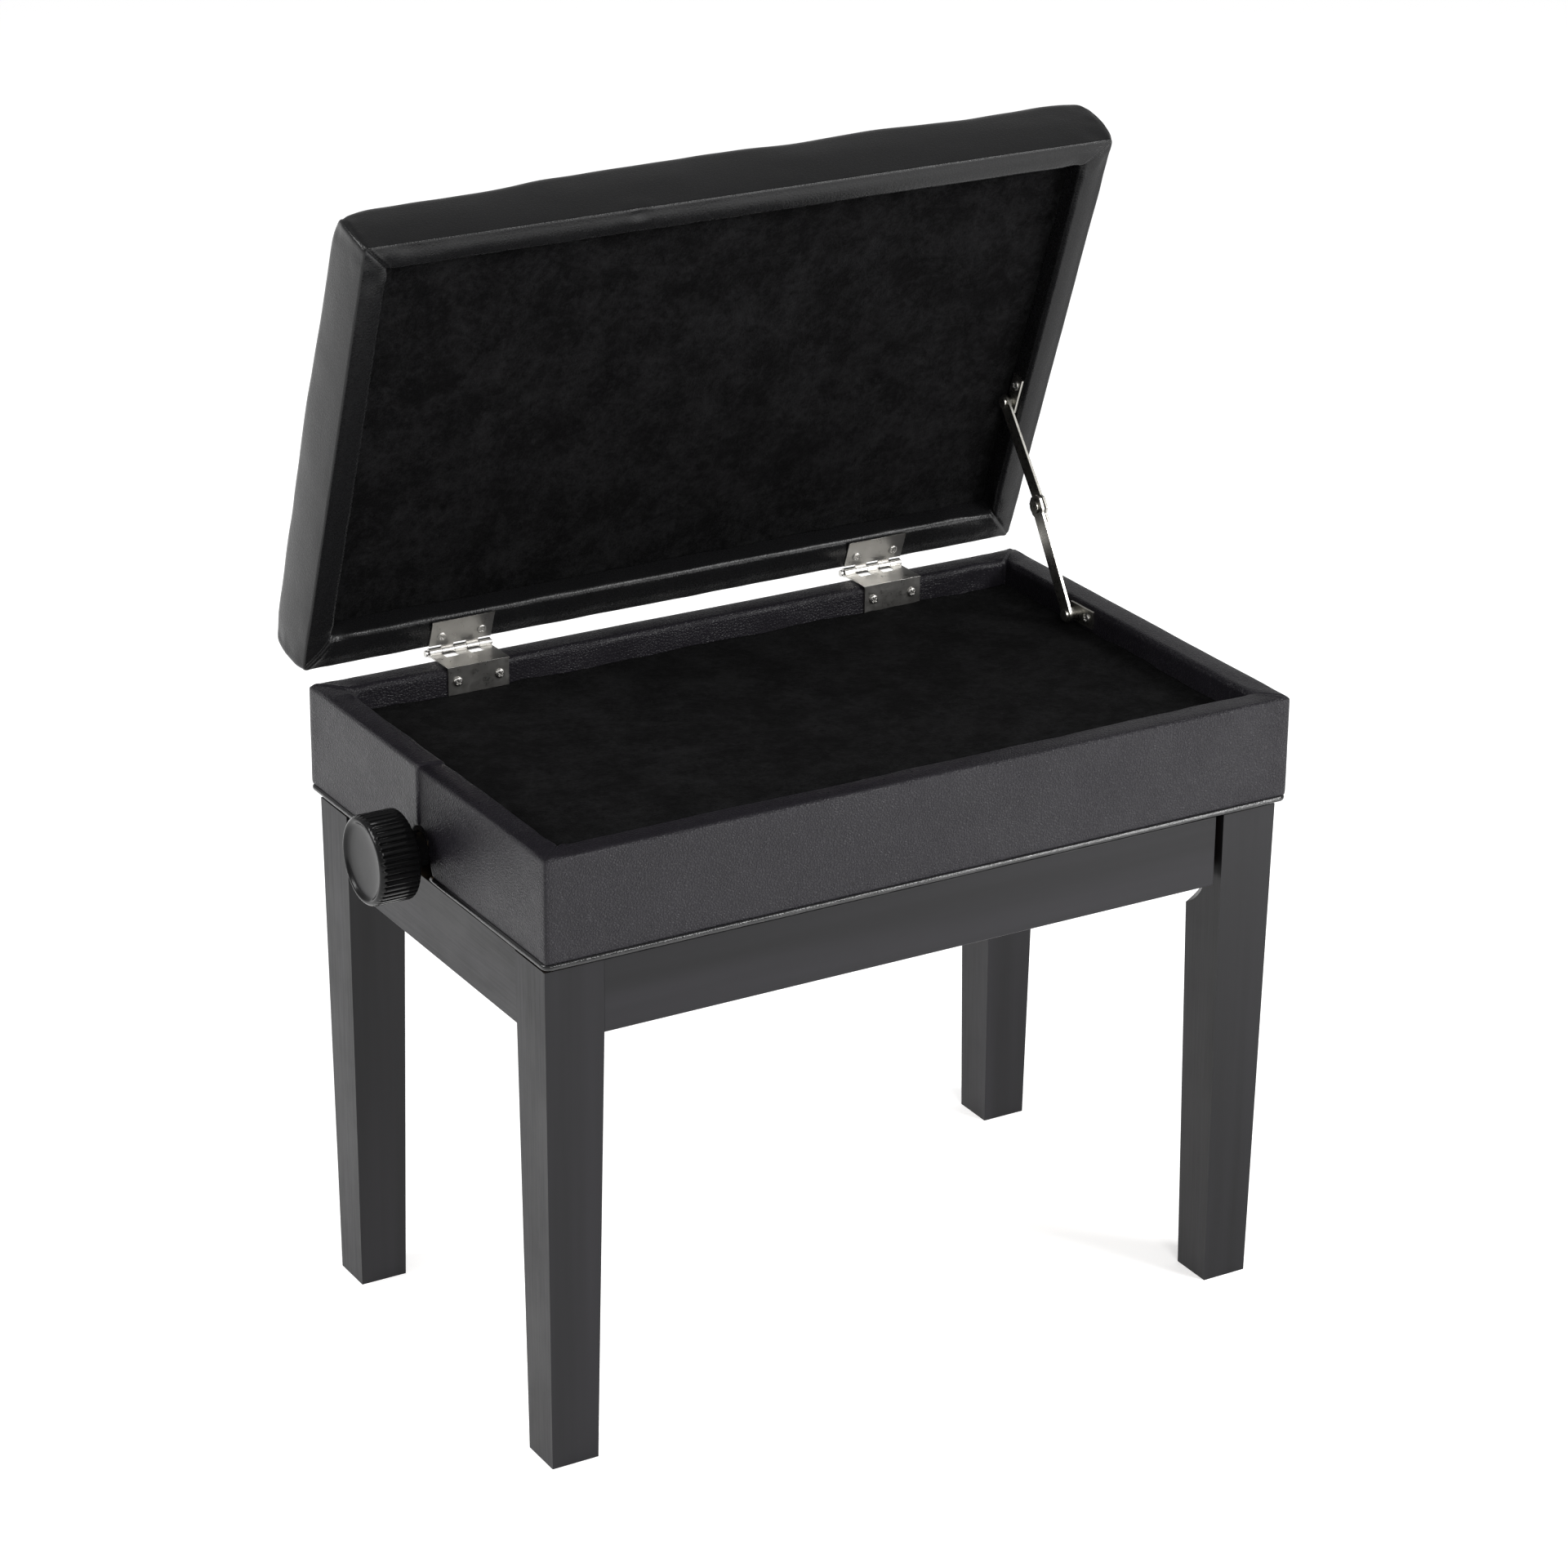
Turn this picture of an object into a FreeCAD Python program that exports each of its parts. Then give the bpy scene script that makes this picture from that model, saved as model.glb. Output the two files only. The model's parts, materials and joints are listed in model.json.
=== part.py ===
# Adjustable piano bench with a music compartment under a hinged, padded lid.
# Millimetres. +X runs along the seat to the right, the front faces -Y, +Z is up.
# The origin is the centre of the leg footprint on the floor.
# Rest pose: the seat box is at its lowest height and the lid stands open on its stay.
import FreeCAD, Part
import math
import os
import Sketcher

V = FreeCAD.Vector
doc = FreeCAD.newDocument("PianoBench")
sheet = doc.addObject("Spreadsheet::Sheet", "Dims")
rows = [0]


class Q:
    """A size with its value and the sheet expression it came from."""

    def __init__(self, v, e):
        self.v, self.e = float(v), e

    def __add__(self, o):
        o = qq(o)
        return Q(self.v + o.v, "(%s + %s)" % (self.e, o.e))

    __radd__ = __add__

    def __sub__(self, o):
        o = qq(o)
        return Q(self.v - o.v, "(%s - %s)" % (self.e, o.e))

    def __rsub__(self, o):
        return qq(o) - self

    def __mul__(self, o):
        o = qq(o)
        return Q(self.v * o.v, "(%s * %s)" % (self.e, o.e))

    __rmul__ = __mul__

    def __truediv__(self, o):
        o = qq(o)
        return Q(self.v / o.v, "(%s / %s)" % (self.e, o.e))

    def __neg__(self):
        return Q(-self.v, "(0 - %s)" % self.e)


def qq(x):
    return x if isinstance(x, Q) else Q(x, "(%.9g)" % x if x < 0 else "%.9g" % x)


def num(x):
    return x.v if isinstance(x, Q) else float(x)


def dim(alias, value, note):
    rows[0] += 1
    r = rows[0]
    sheet.set("A%d" % r, note)
    sheet.set("B%d" % r, str(value))
    sheet.setAlias("B%d" % r, alias)
    return Q(value, "Dims.%s" % alias)


# ---------------------------------------------------------------- driving sizes
seat_w = dim("seat_w", 550, "length of the seat box over its leather")
seat_d = dim("seat_d", 332, "depth of the seat box over its leather")
box_top = dim("box_top", 426.7, "top of the box rim above the floor, seat lowered")
box_bot = dim("box_bot", 356.2, "lower edge of the box leather")
hide = dim("hide", 1.2, "leather thickness")
panel = dim("panel", 17.6, "thickness of the box walls")
floor_top = dim("floor_top", 405, "top of the compartment floor panel")
floor_thk = dim("floor_thk", 6, "compartment floor panel thickness")
plush = dim("plush", 3, "pile lining thickness")
plush_lid = dim("plush_lid", 2.4, "pile lining thickness under the lid")
pipe_dia = dim("pipe_dia", 4.4, "welt cord diameter")
frame_top = dim("frame_top", 349, "top of the leg frame")
rail_bot = dim("rail_bot", 299.5, "lower edge of the frame rails")
rail_thk = dim("rail_thk", 18, "frame rail thickness")
leg_x = dim("leg_x", 272, "outer leg face from the centre, at the top")
leg_y = dim("leg_y", 158.5, "front leg face from the centre, at the top")
leg_wx = dim("leg_wx", 41, "leg width at the top")
leg_wy = dim("leg_wy", 39, "leg depth at the top")
foot_x = dim("foot_x", 268.8, "outer leg face from the centre, at the floor")
foot_y = dim("foot_y", 155.2, "front leg face from the centre, at the floor")
foot_wx = dim("foot_wx", 33, "leg width at the floor")
foot_wy = dim("foot_wy", 31.6, "leg depth at the floor")
leg_flat = dim("leg_flat", 21, "inner corner flat of the leg, along each face")
joint_gap = dim("joint_gap", 5.2, "open joint between rail and leg at the far end")
rail_set = dim("rail_set", 0.8, "rail face set back from the leg face")
axis_y = dim("axis_y", 173.5, "lid hinge axis, depth")
axis_z = dim("axis_z", 429.0, "lid hinge axis, height")
lid_open = dim("lid_open", 70.2, "lid opening angle on its stay")
lid_w = dim("lid_w", 551, "lid length over its leather")
lid_back = dim("lid_back", 3.6, "rear lid edge from the hinge axis")
lid_front = dim("lid_front", 338, "front lid edge from the hinge axis")
lid_gap = dim("lid_gap", 1.5, "lid underside above the hinge axis, closed")
lid_rim = dim("lid_rim", 19.5, "underside rim width, sides and front")
lid_rim_b = dim("lid_rim_b", 24, "underside rim width, rear")
lid_frame = dim("lid_frame", 19, "lid frame thickness")
lid_board = dim("lid_board", 5, "lid board thickness")
lid_band = dim("lid_band", 41, "side band height of the cushion")
lid_crown = dim("lid_crown", 60, "cushion height at its centre")
screw_y = dim("screw_y", 4, "adjusting screw, depth")
screw_z = dim("screw_z", 370.5, "adjusting screw, height")
screw_dia = dim("screw_dia", 10, "adjusting screw diameter")
knob_dia = dim("knob_dia", 59, "knob diameter")
knob_face = dim("knob_face", 316, "knob face from the centre")
knob_len = dim("knob_len", 28, "knob skirt length")
arm_len = dim("arm_len", 400, "scissor arm, pivot to pivot")
arm_rise = dim("arm_rise", 18.5, "upper pivots above the lower ones, seat lowered")
arm_wid = dim("arm_wid", 16, "scissor arm width")
arm_thk = dim("arm_thk", 3, "scissor arm and channel thickness")
pin_dia = dim("pin_dia", 8, "scissor pin and rod diameter")
lane_a = dim("lane_a", 71.5, "inner face of the outer arms from the screw")
lane_b = dim("lane_b", 66.5, "inner face of the inner arms from the screw")
lane_low = dim("lane_low", 76, "inner face of the lower channels from the screw")
lane_up = dim("lane_up", 81, "inner face of the upper channels from the screw")
hinge_x = dim("hinge_x", 161, "butt hinge centre from the middle")
hinge_w = dim("hinge_w", 46, "butt hinge width")
leaf = dim("leaf", 1.2, "hinge leaf thickness")
knuckle = dim("knuckle", 6.4, "hinge knuckle diameter")
hpin = dim("hpin", 3, "hinge pin diameter")
stay_r = dim("stay_r", 118, "stay pivots from the hinge axis, along rim and lid")
stay_dep = dim("stay_dep", 12.3, "stay pivots below the rim plane and inside the lid")
stay_over = dim("stay_over", 4, "knee past the straight line")
stay_wid = dim("stay_wid", 11, "stay arm width")
bolt_dia = dim("bolt_dia", 8, "hanger bolt diameter")
doc.recompute()

made = {}


def label(obj, name):
    obj.Label = name
    made[name] = obj
    return obj


def bind(obj, prop, q):
    q = qq(q)
    setattr(obj, prop, q.v) if "." not in prop else None
    if "Dims." in q.e:
        obj.setExpression(prop, q.e)


def put(obj, x, y, z):
    obj.Placement.Base = V(num(x), num(y), num(z))
    for k, q in (("x", x), ("y", y), ("z", z)):
        q = qq(q)
        if "Dims." in q.e:
            obj.setExpression("Placement.Base." + k, q.e)


count = [0]


def oname(stem):
    count[0] += 1
    return "%s_%03d" % (stem, count[0])


def block(x0, x1, y0, y1, z0, z1):
    b = doc.addObject("Part::Box", oname("Block"))
    bind(b, "Length", qq(x1) - x0)
    bind(b, "Width", qq(y1) - y0)
    bind(b, "Height", qq(z1) - z0)
    put(b, x0, y0, z0)
    return b


TURN = {"z": FreeCAD.Rotation(), "x": FreeCAD.Rotation(V(0, 1, 0), 90), "y": FreeCAD.Rotation(V(1, 0, 0), -90)}


def rod(axis, x, y, z, dia, length):
    """Cylinder that starts at the point and runs along +axis."""
    c = doc.addObject("Part::Cylinder", oname("Rod"))
    bind(c, "Radius", qq(dia) / 2)
    bind(c, "Height", length)
    c.Placement = FreeCAD.Placement(V(0, 0, 0), TURN[axis])
    put(c, x, y, z)
    return c


def cut(base, tool):
    c = doc.addObject("Part::Cut", oname("Cut"))
    c.Base, c.Tool = base, tool
    return c


def fuse(items):
    f = doc.addObject("Part::MultiFuse", oname("Fuse"))
    f.Shapes = items
    return f


def group(items):
    g = doc.addObject("Part::Compound", oname("Group"))
    g.Links = items
    return g


def plane(body, role):
    for f in body.Origin.OriginFeatures:
        if f.Role == role:
            return f
    raise RuntimeError(role)


def new_body(name):
    b = doc.addObject("PartDesign::Body", oname("Body"))
    return label(b, name)


def sketch(body, role, offset=None):
    s = body.newObject("Sketcher::SketchObject", oname("Sketch"))
    s.AttachmentSupport = [(plane(body, role), "")]
    s.MapMode = "FlatFace"
    if offset is not None:
        s.AttachmentOffset = FreeCAD.Placement(V(0, 0, num(offset)), FreeCAD.Rotation())
        if "Dims." in qq(offset).e:
            s.setExpression("AttachmentOffset.Base.z", qq(offset).e)
    return s


def outline(s, pts):
    """Closed straight outline whose corners are bound to the sheet."""
    first = s.GeometryCount
    n = len(pts)
    for i in range(n):
        a, b = pts[i], pts[(i + 1) % n]
        s.addGeometry(Part.LineSegment(V(num(a[0]), num(a[1]), 0), V(num(b[0]), num(b[1]), 0)), False)
    for i in range(n):
        s.addConstraint(Sketcher.Constraint("Coincident", first + i, 2, first + (i + 1) % n, 1))
    for i, (px, py) in enumerate(pts):
        for kind, q in (("DistanceX", px), ("DistanceY", py)):
            q = qq(q)
            if abs(q.v) < 1e-9:
                c = s.addConstraint(
                    Sketcher.Constraint("PointOnObject", first + i, 1, -2 if kind == "DistanceX" else -1)
                )
                continue
            c = s.addConstraint(Sketcher.Constraint(kind, -1, 1, first + i, 1, q.v))
            if "Dims." in q.e:
                s.setExpression("Constraints[%d]" % c, q.e)


def ring(s, x, y, dia):
    """Circle with its centre and diameter bound to the sheet."""
    g = s.addGeometry(Part.Circle(V(num(x), num(y), 0), V(0, 0, 1), num(dia) / 2), False)
    c = s.addConstraint(Sketcher.Constraint("Diameter", g, num(dia)))
    if "Dims." in qq(dia).e:
        s.setExpression("Constraints[%d]" % c, qq(dia).e)
    for kind, q in (("DistanceX", x), ("DistanceY", y)):
        q = qq(q)
        if abs(q.v) < 1e-9:
            s.addConstraint(Sketcher.Constraint("PointOnObject", g, 3, -2 if kind == "DistanceX" else -1))
            continue
        c = s.addConstraint(Sketcher.Constraint(kind, -1, 1, g, 3, q.v))
        if "Dims." in q.e:
            s.setExpression("Constraints[%d]" % c, q.e)


def pad(body, s, length, reverse=False):
    p = body.newObject("PartDesign::Pad", oname("Pad"))
    p.Profile = s
    p.Reversed = reverse
    bind(p, "Length", length)
    return p


def pocket(body, s, length, reverse=False, through=False):
    p = body.newObject("PartDesign::Pocket", oname("Pocket"))
    p.Profile = s
    p.Reversed = reverse
    if through:
        p.Type = 1
        p.Midplane = True
    else:
        bind(p, "Length", length)
    return p


# ---------------------------------------------------------------- lid placement
OPEN = FreeCAD.Placement(
    V(0, 0, 0), FreeCAD.Rotation(V(1, 0, 0), -num(lid_open)), V(0, num(axis_y), num(axis_z))
)
lid_objs = []


def on_lid(name, obj):
    label(obj, name)
    lid_objs.append(obj)
    return obj


# ================================================================ LEG FRAME
# Each leg is square at the rails, tapers to the floor on all four sides, and its
# inner corner carries a 45 degree flat that the hanger bolt pulls against.
bz = (rail_bot + frame_top) / 2
for name, sx, sy in (
    ("leg_front_left", -1, -1),
    ("leg_front_right", 1, -1),
    ("leg_rear_left", -1, 1),
    ("leg_rear_right", 1, 1),
):
    body = new_body(name)
    top = sketch(body, "XY_Plane", frame_top)
    xo, xi = leg_x * sx, (leg_x - leg_wx) * sx
    yo, yi = leg_y * sy, (leg_y - leg_wy) * sy
    outline(top, [(xo, yo), (xi, yo), (xi, yi), (xo, yi)])
    p = pad(body, top, frame_top - rail_bot, reverse=True)
    mid = sketch(body, "XY_Plane", rail_bot)
    outline(mid, [(xo, yo), (xi, yo), (xi, yi), (xo, yi)])
    low = sketch(body, "XY_Plane")
    fxo, fxi = foot_x * sx, (foot_x - foot_wx) * sx
    fyo, fyi = foot_y * sy, (foot_y - foot_wy) * sy
    outline(low, [(fxo, fyo), (fxi, fyo), (fxi, fyi), (fxo, fyi)])
    loft = body.newObject("PartDesign::AdditiveLoft", oname("Taper"))
    loft.Profile = mid
    loft.Sections = [low]
    loft.Ruled = True
    flat = sketch(body, "XY_Plane", rail_bot)
    yf = (leg_y - leg_wy + leg_flat) * sy
    xf = (leg_x - leg_wx + leg_flat) * sx
    over = 4
    outline(
        flat,
        [
            ((leg_x - leg_wx - over) * sx, (leg_y - leg_wy + leg_flat + over) * sy),
            ((leg_x - leg_wx - over) * sx, (leg_y - leg_wy - over) * sy),
            ((leg_x - leg_wx + leg_flat + over) * sx, (leg_y - leg_wy - over) * sy),
        ],
    )
    pocket(body, flat, frame_top - rail_bot, reverse=True)
    # the flat runs out below the rail in a curved cove
    run = sketch(body, "XY_Plane", rail_bot)
    outline(
        run,
        [
            ((leg_x - leg_wx - over) * sx, (leg_y - leg_wy + leg_flat + over) * sy),
            ((leg_x - leg_wx - over) * sx, (leg_y - leg_wy - over) * sy),
            ((leg_x - leg_wx + leg_flat + over) * sx, (leg_y - leg_wy - over) * sy),
        ],
    )
    pocket(body, run, 1)
    doc.recompute()
    base_leg = body
    # cove cutter: a horizontal cylinder along the diagonal flat
    cc = doc.addObject("Part::Cylinder", oname("Cove"))
    cc.Radius = 34
    cc.Height = 90
    d = V(-sx, sy, 0).normalize()
    inward = V(-sx, -sy, 0).normalize()
    mx = num(leg_x - leg_wx + leg_flat / 2) * sx
    my = num(leg_y - leg_wy + leg_flat / 2) * sy
    c0 = V(mx, my, num(rail_bot)) + inward * 34 - d * 45
    cc.Placement = FreeCAD.Placement(c0, FreeCAD.Rotation(V(0, 0, 1), d))
    # bolt bore into the flat
    bore = doc.addObject("Part::Cylinder", oname("Bore"))
    bind(bore, "Radius", bolt_dia / 2)
    bore.Height = 44
    b0 = V(mx, my, num(bz)) + inward * 20
    bore.Placement = FreeCAD.Placement(b0, FreeCAD.Rotation(V(0, 0, 1), inward * -1))
    body.Label = name + "_blank"
    del made[name]
    label(cut(body, fuse([cc, bore])), name)

# rails: each is tight at one leg and stands open at the other
ry0, ry1 = leg_y - rail_set - rail_thk, leg_y - rail_set
rx0, rx1 = leg_x - rail_set - rail_thk, leg_x - rail_set
gx = leg_x - leg_wx
gy = leg_y - leg_wy
for name, x0, x1, y0, y1 in (
    ("rail_front", -gx, gx - joint_gap, -ry1, -ry0),
    ("rail_rear", -gx + joint_gap, gx, ry0, ry1),
    ("rail_left", -rx1, -rx0, -gy, gy - joint_gap),
    ("rail_right", rx0, rx1, -gy + joint_gap, gy),
):
    body = new_body(name)
    s = sketch(body, "XY_Plane", rail_bot)
    outline(s, [(x0, y0), (x1, y0), (x1, y1), (x0, y1)])
    pad(body, s, frame_top - rail_bot)

# corner blocks behind the joints, with the hanger bolts and their wing nuts
blocks, bolts, nuts = [], [], []
bi = 0.6
for sx in (-1, 1):
    for sy in (-1, 1):
        b = doc.addObject("Part::Extrusion", oname("CornerBlock"))
        mx = num(leg_x - leg_wx + leg_flat / 2)
        my = num(leg_y - leg_wy + leg_flat / 2)
        k = mx + my - 1.0
        k2 = k - 34.0
        yy = num(ry0) - 0.01
        xx = num(rx0) - 0.01
        pts = [V(k - yy, yy, 0), V(xx, k - xx, 0), V(xx, k2 - xx, 0), V(k2 - yy, yy, 0)]
        w = Part.makePolygon([V(p.x * sx, p.y * sy, 0) for p in pts + pts[:1]])
        f = doc.addObject("Part::Feature", oname("BlockPlan"))
        f.Shape = Part.Face(w)
        f.Placement = FreeCAD.Placement(V(0, 0, num(rail_bot) + 5), FreeCAD.Rotation())
        b.Base = f
        b.DirMode = "Custom"
        b.Dir = V(0, 0, 1)
        b.Solid = True
        bind(b, "LengthFwd", frame_top - rail_bot - 10)
        inward = V(-sx, -sy, 0).normalize()
        m = V(mx * sx, my * sy, num(bz))
        hole = doc.addObject("Part::Cylinder", oname("BlockHole"))
        bind(hole, "Radius", bolt_dia / 2 + 0.5)
        hole.Height = 60
        hole.Placement = FreeCAD.Placement(m - inward * 10, FreeCAD.Rotation(V(0, 0, 1), inward))
        blocks.append(cut(b, hole))
        bo = doc.addObject("Part::Cylinder", oname("HangerBolt"))
        bind(bo, "Radius", bolt_dia / 2 - 0.05)
        bo.Height = 23 + 36
        bo.Placement = FreeCAD.Placement(m - inward * 23, FreeCAD.Rotation(V(0, 0, 1), inward))
        bolts.append(bo)
        # washer, wing nut hub and its two wings, bored for the bolt
        u = 0.7071 + 34.0 / math.sqrt(2)
        wash = doc.addObject("Part::Cylinder", oname("Washer"))
        wash.Radius = 11
        wash.Height = 1.6
        wash.Placement = FreeCAD.Placement(m + inward * u, FreeCAD.Rotation(V(0, 0, 1), inward))
        hub = doc.addObject("Part::Cone", oname("NutHub"))
        hub.Radius1, hub.Radius2, hub.Height = 8, 6.4, 9
        hub.Placement = FreeCAD.Placement(m + inward * (u + 1.6), FreeCAD.Rotation(V(0, 0, 1), inward))
        wing = doc.addObject("Part::Box", oname("Wing"))
        wing.Length, wing.Width, wing.Height = 2.4, 36, 12
        side = V(0, 0, 1).cross(inward)
        rot = FreeCAD.Rotation(FreeCAD.Matrix(side.x, 0, inward.x, 0, side.y, 0, inward.y, 0, side.z, 1, inward.z, 0, 0, 0, 0, 1))
        rot = FreeCAD.Rotation(side, V(0, 0, 1), inward, "ZXY")
        wing.Placement = FreeCAD.Placement(m + inward * (u + 4) - side * 1.2 - V(0, 0, 18), rot)
        tap = doc.addObject("Part::Cylinder", oname("Tap"))
        bind(tap, "Radius", bolt_dia / 2)
        tap.Height = 60
        tap.Placement = FreeCAD.Placement(m - inward * 5, FreeCAD.Rotation(V(0, 0, 1), inward))
        nuts.append(cut(fuse([wash, hub, wing]), tap))
label(group(blocks), "corner_blocks")
label(group(bolts), "hanger_bolts")
label(group(nuts), "wing_nuts")

# ================================================================ LIFT FRAME
# Two steel end plates screwed inside the end rails carry two lower channels.
px1 = rx0
low_z0, low_z1 = screw_z - 13, screw_z + 13
for name, sx in (("lift_plate_left", -1), ("lift_plate_right", 1)):
    a, b = (-(px1), -(px1 - arm_thk)) if sx < 0 else (px1 - arm_thk, px1)
    body = new_body(name)
    s = sketch(body, "YZ_Plane", a)
    half = lane_low + arm_thk
    outline(s, [(screw_y - half, rail_bot + 8), (screw_y + half, rail_bot + 8), (screw_y + half, low_z1), (screw_y - half, low_z1)])
    if sx < 0:
        ring(s, screw_y, screw_z, screw_dia + 6)
    for k in (-1, 1):
        ring(s, screw_y + 52 * k, rail_bot + 24, 5)
    pad(body, s, arm_thk)

lx0, lx1 = -(px1 - arm_thk), px1 - arm_thk
far = arm_len / 2
slot_x = far * -1
for name, k in (("lower_channel_front", -1), ("lower_channel_rear", 1)):
    body = new_body(name)
    s = sketch(body, "YZ_Plane", lx0)
    a, b = screw_y + lane_low * k, screw_y + (lane_low + arm_thk) * k
    c = screw_y + (lane_low - 13) * k
    outline(s, [(c, low_z0), (b, low_z0), (b, low_z1), (a, low_z1), (a, low_z0 + arm_thk), (c, low_z0 + arm_thk)])
    pad(body, s, lx1 - lx0)
    sl = sketch(body, "XZ_Plane")
    outline(sl, [(slot_x - 8, screw_z - pin_dia / 2 - 0.9), (slot_x + 26, screw_z - pin_dia / 2 - 0.9), (slot_x + 26, screw_z + pin_dia / 2 + 0.9), (slot_x - 8, screw_z + pin_dia / 2 + 0.9)])
    pocket(body, sl, 10, through=True)
    hp = sketch(body, "XZ_Plane")
    ring(hp, far, screw_z, pin_dia)
    pocket(body, hp, 10, through=True)

# saddle that steadies the inner end of the screw
sup_x = -150
upr = block(sup_x - 1.5, sup_x + 1.5, screw_y - 15, screw_y + 15, low_z0 - arm_thk, screw_z + 12)
bar = block(sup_x - 12, sup_x + 12, screw_y - lane_low, screw_y + lane_low, low_z0 - arm_thk, low_z0)
label(cut(fuse([upr, bar]), rod("x", sup_x - 5, screw_y, screw_z, screw_dia + 4, 10)), "screw_saddle")

# flanged bushes in the end plate and in the saddle
b1 = fuse([rod("x", -px1, screw_y, screw_z, screw_dia + 6, arm_thk + 2), rod("x", -px1 + arm_thk, screw_y, screw_z, screw_dia + 14, 2)])
b2 = fuse([rod("x", sup_x - 1.5, screw_y, screw_z, screw_dia + 4, 5), rod("x", sup_x + 1.5, screw_y, screw_z, screw_dia + 9, 2)])
label(
    group(
        [
            cut(b1, rod("x", -px1 - 5, screw_y, screw_z, screw_dia + 0.12, 30)),
            cut(b2, rod("x", sup_x - 10, screw_y, screw_z, screw_dia + 0.12, 30)),
        ]
    ),
    "screw_bushes",
)
# wood screws that hold the end plates, and the fixed lower pivot pins
ws = []
for sx in (-1, 1):
    for k in (-1, 1):
        if sx < 0:
            head = rod("x", -px1 + arm_thk, screw_y + 52 * k, rail_bot + 24, 9, 2.2)
            shank = rod("x", -px1 - 13, screw_y + 52 * k, rail_bot + 24, 4.6, 14 + arm_thk)
        else:
            head = rod("x", px1 - arm_thk - 2.2, screw_y + 52 * k, rail_bot + 24, 9, 2.2)
            shank = rod("x", px1 - arm_thk - 1, screw_y + 52 * k, rail_bot + 24, 4.6, 14 + arm_thk)
        ws.append(fuse([head, shank]))
label(group(ws), "plate_screws")
for name, sx in (("rail_left", -1), ("rail_right", 1)):
    body = made[name]
    s = sketch(body, "YZ_Plane", rx0 * sx)
    for k in (-1, 1):
        ring(s, screw_y + 52 * k, rail_bot + 24, 4.7)
    pocket(body, s, 13.4, reverse=(sx > 0))
pins = []
for k in (-1, 1):
    y0 = screw_y + (lane_a - 1.5) if k > 0 else screw_y - (lane_low + arm_thk + 1)
    pins.append(rod("y", far, y0, screw_z, pin_dia - 0.1, lane_low - lane_a + arm_thk + 2.5))
label(group(pins), "lower_pivot_pins")

# ---------------------------------------------------------------- scissor arms
alpha = math.degrees(math.asin(num(arm_rise) / num(arm_len)))
far_x = num(far) - num(arm_len) * math.cos(math.radians(alpha))


def arm(name, inner, k, tilt, pivot_z, bores):
    """Flat bar with round ends, drawn from its fixed pivot to its far pivot."""
    body = new_body(name)
    s = sketch(body, "XZ_Plane")
    w = arm_wid / 2
    e = 5
    outline(
        s,
        [
            (w * 0.5, -w), (w, w * -0.5), (w, w * 0.5), (w * 0.5, w),
            (-arm_len - w * 0.5, w), (-arm_len - w, w * 0.5), (-arm_len - w, w * -0.5), (-arm_len - w * 0.5, -w),
        ],
    )
    ring(s, 0, 0, bores[0])
    ring(s, -arm_len / 2, 0, bores[1])
    ring(s, -arm_len, 0, bores[2])
    pad(body, s, arm_thk)
    # the sketch normal is -Y: the bar lies from y=0 to y=-thickness
    yy = num(screw_y) + (num(inner) + num(arm_thk) if k > 0 else -num(inner))
    body.Placement = FreeCAD.Placement(V(num(far), yy, pivot_z), FreeCAD.Rotation(V(0, 1, 0), tilt))
    return body


za, zb = num(screw_z), num(screw_z) + num(arm_rise)
for tag, k in (("front", -1), ("rear", 1)):
    arm("scissor_outer_" + tag, lane_a, k, alpha, za, (pin_dia, pin_dia, pin_dia))
    arm("scissor_inner_" + tag, lane_b, k, -alpha, zb, (pin_dia, pin_dia + 1.6, pin_dia))
# upper sliding rod of the outer arms and their two centre pins
label(rod("y", far_x, screw_y - (lane_up + arm_thk + 1), zb, pin_dia - 0.1, 2 * (lane_up + arm_thk + 1)), "upper_slide_rod")
cps = []
mid_x, mid_z = (num(far) + far_x) / 2, (za + zb) / 2
for k in (-1, 1):
    y0 = screw_y + (lane_b - 2) if k > 0 else screw_y - (lane_low - 0.6)
    y1 = y0 if k > 0 else screw_y - lane_b + 0.5
    pin = rod("y", mid_x, y0, mid_z, pin_dia - 0.1, lane_low - lane_b + 1.4)
    hd = rod("y", mid_x, y0 if k > 0 else screw_y - lane_b + 0.5, mid_z, pin_dia + 5, 1.5)
    cps.append(fuse([pin, hd]))
label(group(cps), "centre_pins")

# ---------------------------------------------------------------- screw and nut
nut = cut(
    block(far_x - 12, far_x + 12, screw_y - 13, screw_y + 13, screw_z - 12, screw_z + 12),
    rod("x", far_x - 20, screw_y, screw_z, screw_dia + 1.5, 40),
)
label(nut, "trunnion_nut")
label(
    group(
        [
            rod("y", far_x, screw_y + 13, screw_z, pin_dia - 0.1, lane_low + arm_thk - 12.4),
            rod("y", far_x, screw_y - (lane_low + arm_thk + 0.6), screw_z, pin_dia - 0.1, lane_low + arm_thk - 12.4),
        ]
    ),
    "lower_slide_rods",
)
label(rod("x", -(knob_face - 6), screw_y, screw_z, screw_dia, knob_face - 6 + sup_x + 12), "lead_screw")
# thrust collar behind the end plate and lock nut behind the saddle
label(
    group(
        [
            cut(rod("x", -(px1 - arm_thk - 2.2), screw_y, screw_z, screw_dia + 10, 6), rod("x", -px1, screw_y, screw_z, screw_dia, 30)),
            cut(rod("x", sup_x + 3.9, screw_y, screw_z, screw_dia + 7, 6), rod("x", sup_x, screw_y, screw_z, screw_dia, 30)),
        ]
    ),
    "screw_collars",
)
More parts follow.
